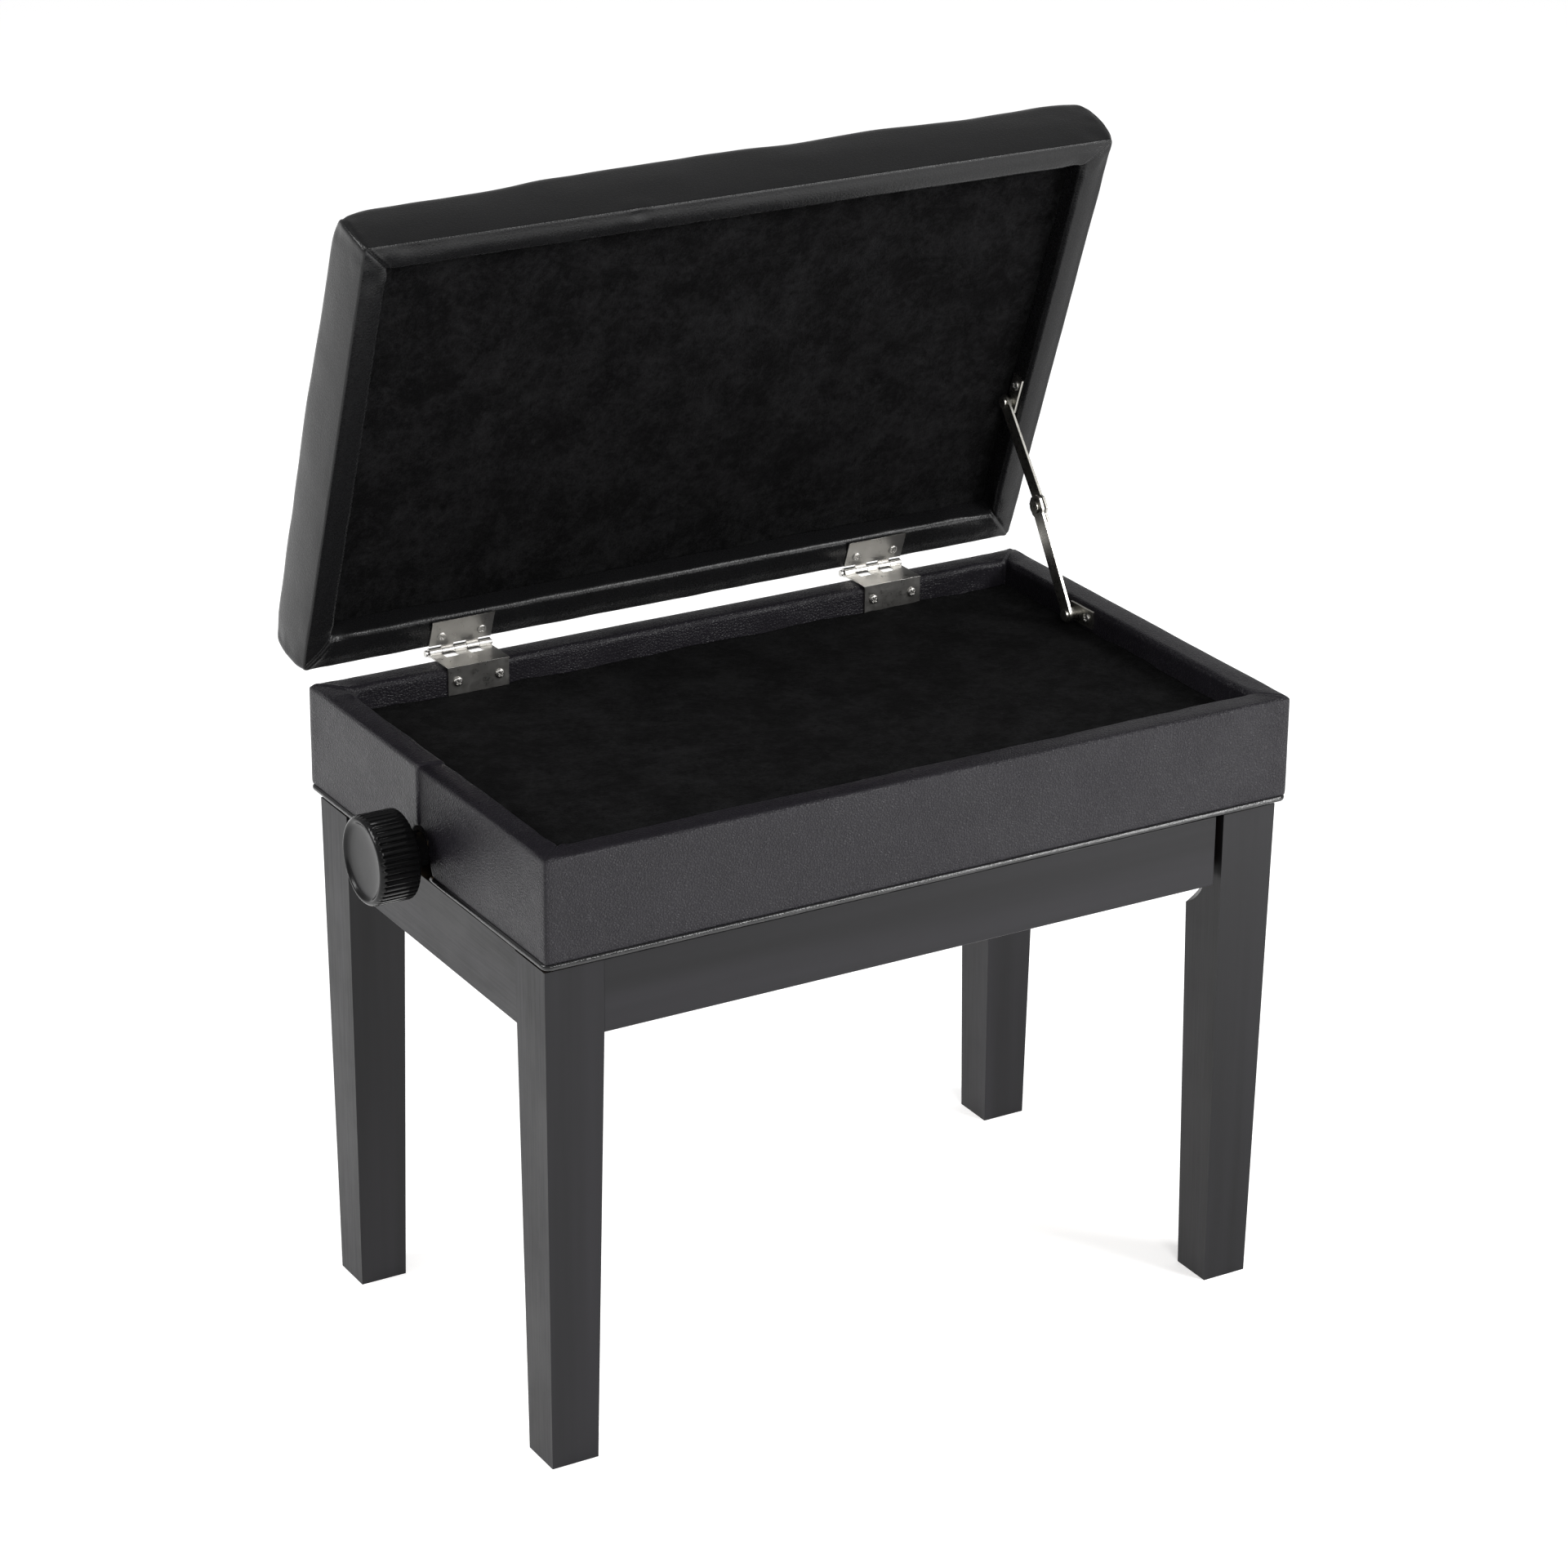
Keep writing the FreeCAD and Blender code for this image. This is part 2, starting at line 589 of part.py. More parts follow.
# knob: dished face, raised rim, fluted skirt and a stepped hub that enters the box notch
body = new_body("adjusting_knob")
s = sketch(body, "XZ_Plane")
kr = knob_dia / 2
kl = knob_len
outline(
    s,
    [
        (4, 0), (4, kr - 9), (2.6, kr - 5), (1.2, kr - 4), (0, kr - 3.2), (1.2, kr - 1.0), (3.4, kr), (kl - 2, kr),
        (kl, kr - 1.6), (kl, kr - 3.5), (10, kr - 4.5), (10, 12.2), (kl + 14, 12.2), (kl + 14, 0),
    ],
)
rv = body.newObject("PartDesign::Revolution", oname("Revolution"))
rv.Profile = s
rv.ReferenceAxis = (s, ["H_Axis"])
rv.Angle = 360
doc.recompute()
fs = sketch(body, "YZ_Plane")
ring(fs, 0, kr + 0.75, 3.0)
fl = pocket(body, fs, 6, through=True)
doc.recompute()
pp = body.newObject("PartDesign::PolarPattern", oname("Flutes"))
pp.Originals = [fl]
pp.Axis = (fs, ["N_Axis"])
pp.Angle = 360
pp.Occurrences = 44
body.Tip = pp
hs = sketch(body, "YZ_Plane", 6)
ring(hs, 0, 0, screw_dia)
doc.recompute()
pocket(body, hs, 60, reverse=True)
put(body, -knob_face, screw_y, screw_z)

# ================================================================ SEAT BOX
hw, hd_ = seat_w / 2, seat_d / 2
wx1, wy1 = hw - hide, hd_ - hide
wx0, wy0 = wx1 - panel, wy1 - panel
wz0, wz1 = box_bot + 0.6, box_top - hide
for name, y0, y1 in (("box_wall_front", -wy1, -wy0), ("box_wall_rear", wy0, wy1)):
    body = new_body(name)
    s = sketch(body, "XY_Plane", wz0)
    outline(s, [(-wx1, y0), (wx1, y0), (wx1, y1), (-wx1, y1)])
    pad(body, s, wz1 - wz0)
notch_r = 14.6
for name, sx in (("box_wall_left", -1), ("box_wall_right", 1)):
    body = new_body(name)
    s = sketch(body, "YZ_Plane", wx0 * sx)
    if sx < 0:
        outline(
            s,
            [
                (-wy0, wz0), (screw_y - notch_r, wz0), (screw_y - notch_r, screw_z + 6), (screw_y - notch_r * 0.7, screw_z + 12.2),
                (screw_y, screw_z + notch_r), (screw_y + notch_r * 0.7, screw_z + 12.2), (screw_y + notch_r, screw_z + 6),
                (screw_y + notch_r, wz0), (wy0, wz0), (wy0, wz1), (-wy0, wz1),
            ],
        )
    else:
        outline(s, [(-wy0, wz0), (wy0, wz0), (wy0, wz1), (-wy0, wz1)])
    pad(body, s, panel, reverse=(sx < 0))
label(block(-wx0, wx0, -wy0, wy0, floor_top - floor_thk, floor_top), "box_floor")
# leather over the walls: outside, over the rim, and down the inside to the lining
ix, iy = wx0 - hide, wy0 - hide
outer = block(-hw, hw, -hd_, hd_, box_bot, box_top)
core = block(-wx1, wx1, -wy1, wy1, box_bot - 5, wz1)
inner_w = block(-wx0, wx0, -wy0, wy0, floor_top + plush, box_top)
inner_c = block(-ix, ix, -iy, iy, floor_top - 20, box_top + 5)
skin_out = cut(outer, core)
skin_in = cut(inner_w, inner_c)
well = block(-wx0, wx0, -wy0, wy0, box_top - hide - 3, box_top + 5)
notch_cut = fuse(
    [
        block(-hw - 5, -wx0, screw_y - notch_r, screw_y + notch_r, box_bot - 5, screw_z + 2),
        rod("x", -hw - 5, screw_y, screw_z, 2 * notch_r, 30),
    ]
)
label(cut(fuse([cut(skin_out, well), skin_in]), notch_cut), "box_cover")
label(block(-wx0 + 0.4, wx0 - 0.4, -wy0 + 0.4, wy0 - 0.4, floor_top, floor_top + plush), "compartment_lining")

# welt cord round the lower edge, broken at the shaft notch
pr = num(pipe_dia) / 2
pxx, pyy, pz, rc = num(hw) - 1.6, num(hd_) - 1.6, num(box_bot) - 0.5, 7.0
n0 = num(screw_y) - notch_r - 0.2
n1 = num(screw_y) + notch_r + 0.2
pt = lambda x, y: V(x, y, pz)
c45 = rc * (1 - math.sqrt(0.5))


def corner(a, m, b):
    return Part.Arc(a, m, b).toShape()


edges = [
    Part.LineSegment(pt(-pxx, n0), pt(-pxx, -pyy + rc)).toShape(),
    corner(pt(-pxx, -pyy + rc), pt(-pxx + c45, -pyy + c45), pt(-pxx + rc, -pyy)),
    Part.LineSegment(pt(-pxx + rc, -pyy), pt(pxx - rc, -pyy)).toShape(),
    corner(pt(pxx - rc, -pyy), pt(pxx - c45, -pyy + c45), pt(pxx, -pyy + rc)),
    Part.LineSegment(pt(pxx, -pyy + rc), pt(pxx, pyy - rc)).toShape(),
    corner(pt(pxx, pyy - rc), pt(pxx - c45, pyy - c45), pt(pxx - rc, pyy)),
    Part.LineSegment(pt(pxx - rc, pyy), pt(-pxx + rc, pyy)).toShape(),
    corner(pt(-pxx + rc, pyy), pt(-pxx + c45, pyy - c45), pt(-pxx, pyy - rc)),
    Part.LineSegment(pt(-pxx, pyy - rc), pt(-pxx, n1)).toShape(),
]
path = Part.Wire(edges)
sec = Part.Wire([Part.makeCircle(pr, pt(-pxx, n0), V(0, -1, 0))])
cord = path.makePipeShell([sec], True, False)
f = doc.addObject("Part::Feature", "PipingCord")
f.Shape = Part.Solid(cord.Shells[0]) if cord.ShapeType != "Solid" else cord
# the cord is let into the leather and wall edge
seatcut = block(-hw - 1, hw + 1, -hd_ - 1, hd_ + 1, box_bot, box_top)
label(cut(f, seatcut), "box_piping")

# upper channels under the floor panel
uz1 = floor_top - floor_thk
for name, k in (("upper_channel_front", -1), ("upper_channel_rear", 1)):
    body = new_body(name)
    s = sketch(body, "YZ_Plane", -245)
    a, b = screw_y + lane_up * k, screw_y + (lane_up + arm_thk) * k
    c = screw_y + (lane_up + 20) * k
    outline(s, [(a, screw_z + 7), (b, screw_z + 7), (b, uz1 - arm_thk), (c, uz1 - arm_thk), (c, uz1), (a, uz1)])
    pad(body, s, 490)
    sl = sketch(body, "XZ_Plane")
    zc = screw_z + arm_rise
    outline(sl, [(slot_x - 8, zc - pin_dia / 2 - 0.7), (slot_x + 26, zc - pin_dia / 2 - 0.7), (slot_x + 26, zc + pin_dia / 2 + 0.7), (slot_x - 8, zc + pin_dia / 2 + 0.7)])
    pocket(body, sl, 10, through=True)
    hp = sketch(body, "XZ_Plane")
    ring(hp, far, zc, pin_dia)
    pocket(body, hp, 10, through=True)
pins = []
for k in (-1, 1):
    y0 = screw_y + (lane_b - 1.5) if k > 0 else screw_y - (lane_up + arm_thk + 1)
    pins.append(rod("y", far, y0, zb, pin_dia - 0.1, lane_up - lane_b + arm_thk + 2.5))
label(group(pins), "upper_pivot_pins")
fx = []
for k in (-1, 1):
    for x in (-215, -70, 70, 215):
        y = screw_y + (lane_up + 12) * k
        fx.append(rod("z", x, y, uz1 - arm_thk - 2.0, 8, 2.0))

# ================================================================ HINGES
# Five knuckles: the box leaf has the outer and middle ones, the lid leaf the other two.
seg = hinge_w / 5
leafs_low, leafs_up, hp_, hs_low, hs_up = [], [], [], [], []
for sx in (-1, 1):
    x0 = hinge_x * sx - hinge_w / 2
    x1 = x0 + hinge_w
    rim_y = wy0 - hide
    parts_ = [
        block(x0, x1, rim_y - leaf, hd_ - 2, box_top, box_top + leaf),
        block(x0 + 0.5, x1 - 0.5, rim_y - leaf, rim_y, box_top - 18.5, box_top + leaf),
    ]
    for i in (0, 2, 4):
        parts_.append(block(x0 + seg * i + 0.15, x0 + seg * (i + 1) - 0.15, hd_ - 3, axis_y, box_top, box_top + leaf))
        parts_.append(rod("x", x0 + seg * i + 0.15, axis_y, axis_z, knuckle, seg - 0.3))
    bores = [rod("x", x0 - 2, axis_y, axis_z, hpin + 0.1, hinge_w + 4)]
    for dx in (7.5, 38.5):
        bores.append(rod("y", x0 + dx, rim_y - 5, box_top - 9.3, 3.6, 8))
    bores.append(rod("z", x0 + hinge_w / 2, rim_y + 11.5, box_top - 2, 3.4, 6))
    leafs_low.append(cut(fuse(parts_), fuse(bores)))
    # lid leaf, drawn closed and then opened with the lid
    zu0, zu1 = axis_z + lid_gap - leaf, axis_z + lid_gap
    parts_ = [block(x0, x1, axis_y - 25.5, axis_y - 5.2, zu0, zu1)]
    for i in (1, 3):
        parts_.append(block(x0 + seg * i + 0.15, x0 + seg * (i + 1) - 0.15, axis_y - 6, axis_y, zu0, zu1))
        parts_.append(rod("x", x0 + seg * i + 0.15, axis_y, axis_z, knuckle, seg - 0.3))
    bores = [rod("x", x0 - 2, axis_y, axis_z, hpin + 0.1, hinge_w + 4)]
    for dx in (8.2, 37.8):
        bores.append(rod("z", x0 + dx, axis_y - 12.5, zu0 - 2, 3.6, 8))
    leafs_up.append(cut(fuse(parts_), fuse(bores)))
    hp_.append(fuse([rod("x", x0 - 1.2, axis_y, axis_z, hpin, hinge_w + 2.4), rod("x", x0 - 2.4, axis_y, axis_z, hpin + 1.6, 1.3)]))
    for dx in (7.5, 38.5):
        hs_low.append(fuse([rod("y", x0 + dx, rim_y - leaf - 1.8, box_top - 9.3, 6.6, 1.8), rod("y", x0 + dx, rim_y - leaf - 1, box_top - 9.3, 3.4, leaf + 1)]))
    hs_low.append(rod("z", x0 + hinge_w / 2, rim_y + 11.5, box_top, 3.2, leaf + 0.1))
    for dx in (8.2, 37.8):
        hs_up.append(fuse([rod("z", x0 + dx, axis_y - 12.5, zu0 - 1.15, 6.6, 1.15), rod("z", x0 + dx, axis_y - 12.5, zu0 - 0.5, 3.4, leaf + 0.5)]))
label(group(leafs_low), "hinge_leaves_lower")
label(group(hp_), "hinge_pins")
on_lid("hinge_leaves_upper", group(leafs_up))

# ================================================================ LID
# Drawn closed; every lid piece is then turned open about the hinge axis.
lw = lid_w / 2
ly0, ly1 = axis_y - lid_front, axis_y - lid_back
lz0 = axis_z + lid_gap
fz0, fz1 = lz0 + hide, lz0 + lid_frame
fx1, fy0, fy1 = lw - hide, ly0 + hide, ly1 - hide
fxi = lw - lid_rim + hide
fyi0, fyi1 = ly0 + lid_rim - hide, ly1 - lid_rim_b + hide
for name, x0, x1, y0, y1 in (
    ("lid_rail_front", -fx1, fx1, fy0, fyi0),
    ("lid_rail_rear", -fx1, fx1, fyi1, fy1),
    ("lid_rail_left", -fx1, -fxi, fyi0, fyi1),
    ("lid_rail_right", fxi, fx1, fyi0, fyi1),
):
    b = new_body(name)
    s = sketch(b, "XY_Plane", fz0)
    outline(s, [(x0, y0), (x1, y0), (x1, y1), (x0, y1)])
    pad(b, s, fz1 - fz0)
    lid_objs.append(b)
on_lid("lid_board", block(-fx1, fx1, fy0, fy1, fz1, fz1 + lid_board))


def mound(inset, z_base, z_band, z_top, name):
    """Cushion blank: straight band, then a low crown in two slopes."""
    x, y0, y1 = num(lw) - inset, num(ly0) + inset, num(ly1) - inset

    def loop(i, z):
        return Part.makePolygon([V(-x + i, y0 + i, z), V(x - i, y0 + i, z), V(x - i, y1 - i, z), V(-x + i, y1 - i, z), V(-x + i, y0 + i, z)])

    zb, zt = z_band, z_top
    parts = [Part.makeLoft([loop(0, z_base), loop(0, zb)], True, True)]
    h = zt - zb
    parts.append(Part.makeLoft([loop(0, zb), loop(14, zb + 0.42 * h)], True, True))
    parts.append(Part.makeLoft([loop(14, zb + 0.42 * h), loop(46, zb + 0.8 * h)], True, True))
    parts.append(Part.makeLoft([loop(46, zb + 0.8 * h), loop(110, zt)], True, True))
    sh = parts[0].fuse(parts[1:]).removeSplitter()
    m = doc.addObject("Part::Feature", oname(name))
    m.Shape = sh
    return m


zb_ = num(lz0) + num(lid_band) - 3
foam = mound(num(hide), num(fz1 + lid_board), zb_ - num(hide), num(lz0) + num(lid_crown) - num(hide), "Foam")
on_lid("seat_foam", foam)
outer = mound(0.0, num(lz0), zb_, num(lz0) + num(lid_crown), "CoverOuter")
inner = mound(num(hide), num(fz0), zb_ - num(hide), num(lz0) + num(lid_crown) - num(hide), "CoverInner")
mouth = block(-lw + lid_rim, lw - lid_rim, ly0 + lid_rim, ly1 - lid_rim_b, lz0 - 5, fz1)
wrap_o = block(-fxi, fxi, fyi0, fyi1, lz0, fz1)
on_lid("seat_cover", cut(fuse([cut(outer, inner), wrap_o]), mouth))
on_lid("lid_lining", block(-lw + lid_rim + 0.2, lw - lid_rim - 0.2, ly0 + lid_rim + 0.2, ly1 - lid_rim_b - 0.2, fz1 - plush_lid, fz1))

# ================================================================ LID STAY
sy0, sz0 = num(axis_y) - num(stay_r), num(axis_z) - num(stay_dep)
rr = math.hypot(num(stay_r), num(stay_dep))
dep = math.degrees(math.atan2(num(stay_dep), num(stay_r)))
half_open = (num(lid_open) + 2 * dep) / 2
dist = rr * math.sin(math.radians(half_open))
stay_len = math.hypot(dist, num(stay_over))
elev = dep + (90 - half_open) + math.degrees(math.asin(num(stay_over) / stay_len))
half_shut = dep
shut = dep + (90 - half_shut) - math.degrees(math.acos(rr * math.sin(math.radians(half_shut)) / stay_len))
print("stay arm length %.3f, lower arm elevation open %.3f, closed %.3f, ratio %.5f" % (stay_len, elev, shut, (elev - shut) / num(lid_open)))
print("scissor: alpha0 %.4f far_x %.4f" % (alpha, far_x))
knee = V(0, sy0 + stay_len * math.cos(math.radians(elev)), sz0 + stay_len * math.sin(math.radians(elev)))
upper = OPEN.multVec(V(0, sy0, num(axis_z) + num(stay_dep)))
print("knee", knee, "upper pivot", upper, "gap", (upper - knee).Length - stay_len)


def flat_arm(name, x, a, b, thk, bore_a, bore_b, tail):
    """Flat stay arm between two points in a plane of constant X."""
    body = new_body(name)
    s = sketch(body, "YZ_Plane")
    n = (b - a).Length
    w = stay_wid / 2
    outline(
        s,
        [
            (-5.0, -2.0), (-3.6, -3.9), (-0.6, -5.2), (9, -w), (n - 6, -w), (n - 4, -7.2), (n + 4, -7.2), (n + 7.2, -3.4), (n + tail, -3.4),
            (n + tail, 3.4), (n + 7.2, 3.4), (n + 4, 7.2), (n - 4, 7.2), (n - 6, w), (9, w), (-0.6, 5.2), (-3.6, 3.9), (-5.0, 2.0),
        ],
    )
    ring(s, 0, 0, bore_a)
    if bore_b:
        ring(s, n, 0, bore_b)
    pad(body, s, thk)
    ang = math.degrees(math.atan2(b.z - a.z, b.y - a.y))
    body.Placement = FreeCAD.Placement(V(x, a.y, a.z), FreeCAD.Rotation(V(1, 0, 0), ang))
    return body


low_p = V(0, sy0, sz0)
flat_arm("stay_arm_lower", 246.5, low_p, knee, 2.0, 4.1, 4.0, 7.4)
flat_arm("stay_arm_upper", 249.5, upper, knee, 2.0, 4.1, 0, 12.5)
kr_ = fuse([rod("x", 244.6, knee.y, knee.z, 9.5, 1.9), rod("x", 244.6, knee.y, knee.z, 3.9, 4.5)])
label(kr_, "stay_knee_rivet")


def bracket(x0, x1, py, pz, sgn):
    """Plate with a pivot post; pz side is sgn (+1 box, mirrored on the lid)."""
    b = block(x0, x1, py - 22, py + 5, pz - 5.2, pz + 7.5)
    post = rod("x", 244.9, py, pz, 4.0, num(x1) - 244.9)
    washer = rod("x", 248.6 if sgn > 0 else 251.6, py, pz, 9.0, num(x0) - (248.6 if sgn > 0 else 251.6))
    cap = rod("x", 244.4 if sgn > 0 else 247.8, py, pz, 8.0, 2.0 if sgn > 0 else 1.6)
    post2 = rod("x", 244.9 if sgn > 0 else 248.2, py, pz, 4.0, num(x1) - (244.9 if sgn > 0 else 248.2))
    doc.removeObject(post.Name)
    hole = rod("x", 240, py - 15.5, pz + 1.4 * sgn, 3.6, 30)
    return cut(b, hole), [washer, cap, post2], rod("x", num(x0) - 1.6, py - 15.5, pz + 1.4 * sgn, 7.0, 1.6), rod("x", num(x0) - 1, py - 15.5, pz + 1.4 * sgn, 3.4, num(x1) - num(x0) + 1)


bx1 = ix
bplate, bposts, bh, bs = bracket(bx1 - 1.8, bx1, sy0, sz0, 1)
label(group([cut(bplate, rod("x", 240, sy0, sz0, 4.0, 30)), fuse(bposts)]), "stay_bracket_lower")
# every small screw of the seat box: hinges, stay and lift channels
label(group(hs_low + fx + [fuse([bh, bs])]), "box_screws")
ux1 = lw - lid_rim
uz = num(axis_z) + num(stay_dep)
ub = block(ux1 - 1.8, ux1, sy0 - 22, sy0 + 5, uz - 7.5, uz + 3.6)
post = fuse([rod("x", 251.6, sy0, uz, 7.0, num(ux1) - 1.8 - 251.6), rod("x", 247.8, sy0, uz, 8.0, 1.6), rod("x", 248.2, sy0, uz, 4.0, num(ux1) - 248.2)])
on_lid("stay_bracket_upper", group([cut(cut(ub, rod("x", 240, sy0, uz, 4.0, 30)), rod("x", 240, sy0 - 15.5, uz - 2.4, 3.6, 30)), post]))
on_lid(
    "lid_screws",
    group(hs_up + [fuse([rod("x", num(ux1) - 3.4, sy0 - 15.5, uz - 2.4, 7.0, 1.6), rod("x", num(ux1) - 2.8, sy0 - 15.5, uz - 2.4, 3.4, 2.8)])]),
)

# ---------------------------------------------------------------- open the lid
doc.recompute()
for o in lid_objs:
    for path_, _ in list(o.ExpressionEngine):
        if "Placement" in path_:
            o.setExpression(path_, None)
    o.Placement = OPEN.multiply(o.Placement)
doc.recompute()

# ---------------------------------------------------------------- checks and files
bad = []
for o in doc.Objects:
    if "Invalid" in o.State or "Error" in o.State:
        bad.append("%s (%s): %s" % (o.Name, o.Label, o.State))
for name, o in made.items():
    sh = o.Shape
    if sh.isNull() or not sh.isValid() or sh.Volume <= 0 or not sh.Solids:
        bad.append("%s: null, invalid or empty" % name)
if bad:
    raise RuntimeError("failed objects: " + "; ".join(bad))
os.makedirs("parts", exist_ok=True)
for name, o in sorted(made.items()):
    o.Shape.exportStep("parts/%s.step" % name)
    bb = o.Shape.BoundBox
    print("%-24s solids %d vol %9.0f  x %.1f..%.1f y %.1f..%.1f z %.1f..%.1f" % (name, len(o.Shape.Solids), o.Shape.Volume, bb.XMin, bb.XMax, bb.YMin, bb.YMax, bb.ZMin, bb.ZMax))
print(len(made), "nodes")
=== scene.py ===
import bpy
import bmesh
import json
import math
import numpy as np
from mathutils import Matrix, Vector, noise


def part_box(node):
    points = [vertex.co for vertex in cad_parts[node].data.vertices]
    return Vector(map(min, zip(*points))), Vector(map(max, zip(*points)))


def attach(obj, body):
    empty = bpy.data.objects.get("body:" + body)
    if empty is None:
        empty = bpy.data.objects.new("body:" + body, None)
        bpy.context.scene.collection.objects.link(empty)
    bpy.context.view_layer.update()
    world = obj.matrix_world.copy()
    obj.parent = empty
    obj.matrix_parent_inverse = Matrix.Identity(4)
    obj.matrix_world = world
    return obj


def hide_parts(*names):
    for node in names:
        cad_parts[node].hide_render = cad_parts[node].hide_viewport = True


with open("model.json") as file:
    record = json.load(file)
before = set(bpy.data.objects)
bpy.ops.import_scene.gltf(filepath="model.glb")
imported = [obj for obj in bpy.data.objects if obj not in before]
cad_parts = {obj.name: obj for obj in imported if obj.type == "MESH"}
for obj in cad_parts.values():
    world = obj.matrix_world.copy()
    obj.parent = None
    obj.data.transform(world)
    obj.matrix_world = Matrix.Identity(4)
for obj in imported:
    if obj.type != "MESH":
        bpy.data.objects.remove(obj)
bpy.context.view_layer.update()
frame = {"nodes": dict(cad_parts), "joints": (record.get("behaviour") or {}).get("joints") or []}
scene = bpy.context.scene
J = {j["name"]: j for j in frame["joints"]}

# ------------------------------------------------------------------ camera
YAW, PITCH, ROLL = math.radians(-30.61), math.radians(22.57), math.radians(0.52)
fwd = Vector((-math.sin(YAW) * math.cos(PITCH), math.cos(YAW) * math.cos(PITCH), -math.sin(PITCH)))
right = Vector((math.cos(YAW), math.sin(YAW), 0))
up = right.cross(fwd)
r2 = math.cos(ROLL) * right + math.sin(ROLL) * up
u2 = -math.sin(ROLL) * right + math.cos(ROLL) * up
cam_data = bpy.data.cameras.new("camera")
cam_data.lens, cam_data.sensor_width = 105.89, 36.0
cam = bpy.data.objects.new("camera", cam_data)
scene.collection.objects.link(cam)
m = Matrix.Identity(4)
for i in range(3):
    m[i][0], m[i][1], m[i][2] = r2[i], u2[i], -fwd[i]
m[0][3], m[1][3], m[2][3] = -1.43752, -2.41124, 1.52729
cam.matrix_world = m
scene.camera = cam
scene.view_settings.view_transform = "Standard"

# ------------------------------------------------------------------ light and floor
world = bpy.data.worlds.new("studio")
scene.world = world
world.use_nodes = True
wn = world.node_tree
wn.nodes.clear()
wout = wn.nodes.new("ShaderNodeOutputWorld")
wbg = wn.nodes.new("ShaderNodeBackground")
wbg.inputs["Color"].default_value = (1, 1, 1, 1)
wbg.inputs["Strength"].default_value = 0.50
wn.links.new(wbg.outputs[0], wout.inputs[0])


def area(name, loc, target, size, power, color=(1, 1, 1)):
    d = bpy.data.lights.new(name, "AREA")
    d.shape, d.size, d.size_y = "RECTANGLE", size[0], size[1]
    d.energy, d.color = power, color
    o = bpy.data.objects.new(name, d)
    scene.collection.objects.link(o)
    o.location = loc
    o.rotation_euler = (Vector(target) - Vector(loc)).to_track_quat("-Z", "Y").to_euler()
    return o


area("front_softbox", (2.1, -2.6, 2.2), (0.9, -0.9, 0.0), (1.4, 1.2), 95)
area("low_softbox", (0.95, -1.35, 0.36), (0.12, -0.17, 0.36), (0.5, 0.45), 9)
area("left_softbox", (-2.6, 0.7, 1.9), (-0.75, 0.75, 0.0), (1.2, 1.2), 58)
area("near_softbox", (-0.6, -3.2, 2.4), (-0.1, -0.9, 0.0), (1.2, 1.0), 40)


# ------------------------------------------------------------------ material helpers
class Tree:
    def __init__(self, name):
        self.m = bpy.data.materials.new(name)
        self.m.use_nodes = True
        self.t = self.m.node_tree
        self.t.nodes.clear()
        self.out = self.t.nodes.new("ShaderNodeOutputMaterial")
        self.b = self.t.nodes.new("ShaderNodeBsdfPrincipled")
        self.link(self.b.outputs[0], self.out.inputs[0])
        self.co = self.t.nodes.new("ShaderNodeTexCoord").outputs["Object"]

    def link(self, a, b):
        self.t.links.new(a, b)

    def node(self, kind, **kw):
        n = self.t.nodes.new(kind)
        for k, v in kw.items():
            setattr(n, k, v)
        return n

    def set(self, **kw):
        for k, v in kw.items():
            self.b.inputs[k.replace("_", " ")].default_value = v

    def scaled(self, s):
        n = self.node("ShaderNodeMapping")
        n.inputs["Scale"].default_value = s
        self.link(self.co, n.inputs["Vector"])
        return n.outputs[0]

    def noise(self, scale, detail=2.0, rough=0.5, vec=None):
        n = self.node("ShaderNodeTexNoise")
        n.inputs["Scale"].default_value = scale
        n.inputs["Detail"].default_value = detail
        n.inputs["Roughness"].default_value = rough
        self.link(vec or self.co, n.inputs["Vector"])
        return n.outputs["Fac"]

    def voronoi(self, scale, feature="F1", vec=None):
        n = self.node("ShaderNodeTexVoronoi", feature=feature)
        n.inputs["Scale"].default_value = scale
        self.link(vec or self.co, n.inputs["Vector"])
        return n.outputs["Distance"]

    def rng(self, x, a, b, c, d):
        n = self.node("ShaderNodeMapRange")
        for i, v in zip((1, 2, 3, 4), (a, b, c, d)):
            n.inputs[i].default_value = v
        self.link(x, n.inputs[0])
        return n.outputs[0]

    def math(self, op, a, b):
        n = self.node("ShaderNodeMath", operation=op)
        for i, v in enumerate((a, b)):
            if isinstance(v, (int, float)):
                n.inputs[i].default_value = v
            else:
                self.link(v, n.inputs[i])
        return n.outputs[0]

    def mix(self, f, a, b):
        n = self.node("ShaderNodeMix", data_type="RGBA")
        self.link(f, n.inputs[0])
        n.inputs[6].default_value = (*a, 1)
        n.inputs[7].default_value = (*b, 1)
        return n.outputs[2]

    def bump(self, height, strength, distance, under=None):
        n = self.node("ShaderNodeBump")
        n.inputs["Strength"].default_value = strength
        n.inputs["Distance"].default_value = distance
        self.link(height, n.inputs["Height"])
        if under is not None:
            self.link(under, n.inputs["Normal"])
        return n.outputs[0]

    def done(self, color=None, rough=None, normal=None):
        if color is not None:
            self.link(color, self.b.inputs["Base Color"])
        if rough is not None:
            self.link(rough, self.b.inputs["Roughness"])
        if normal is not None:
            self.link(normal, self.b.inputs["Normal"])
        return self.m


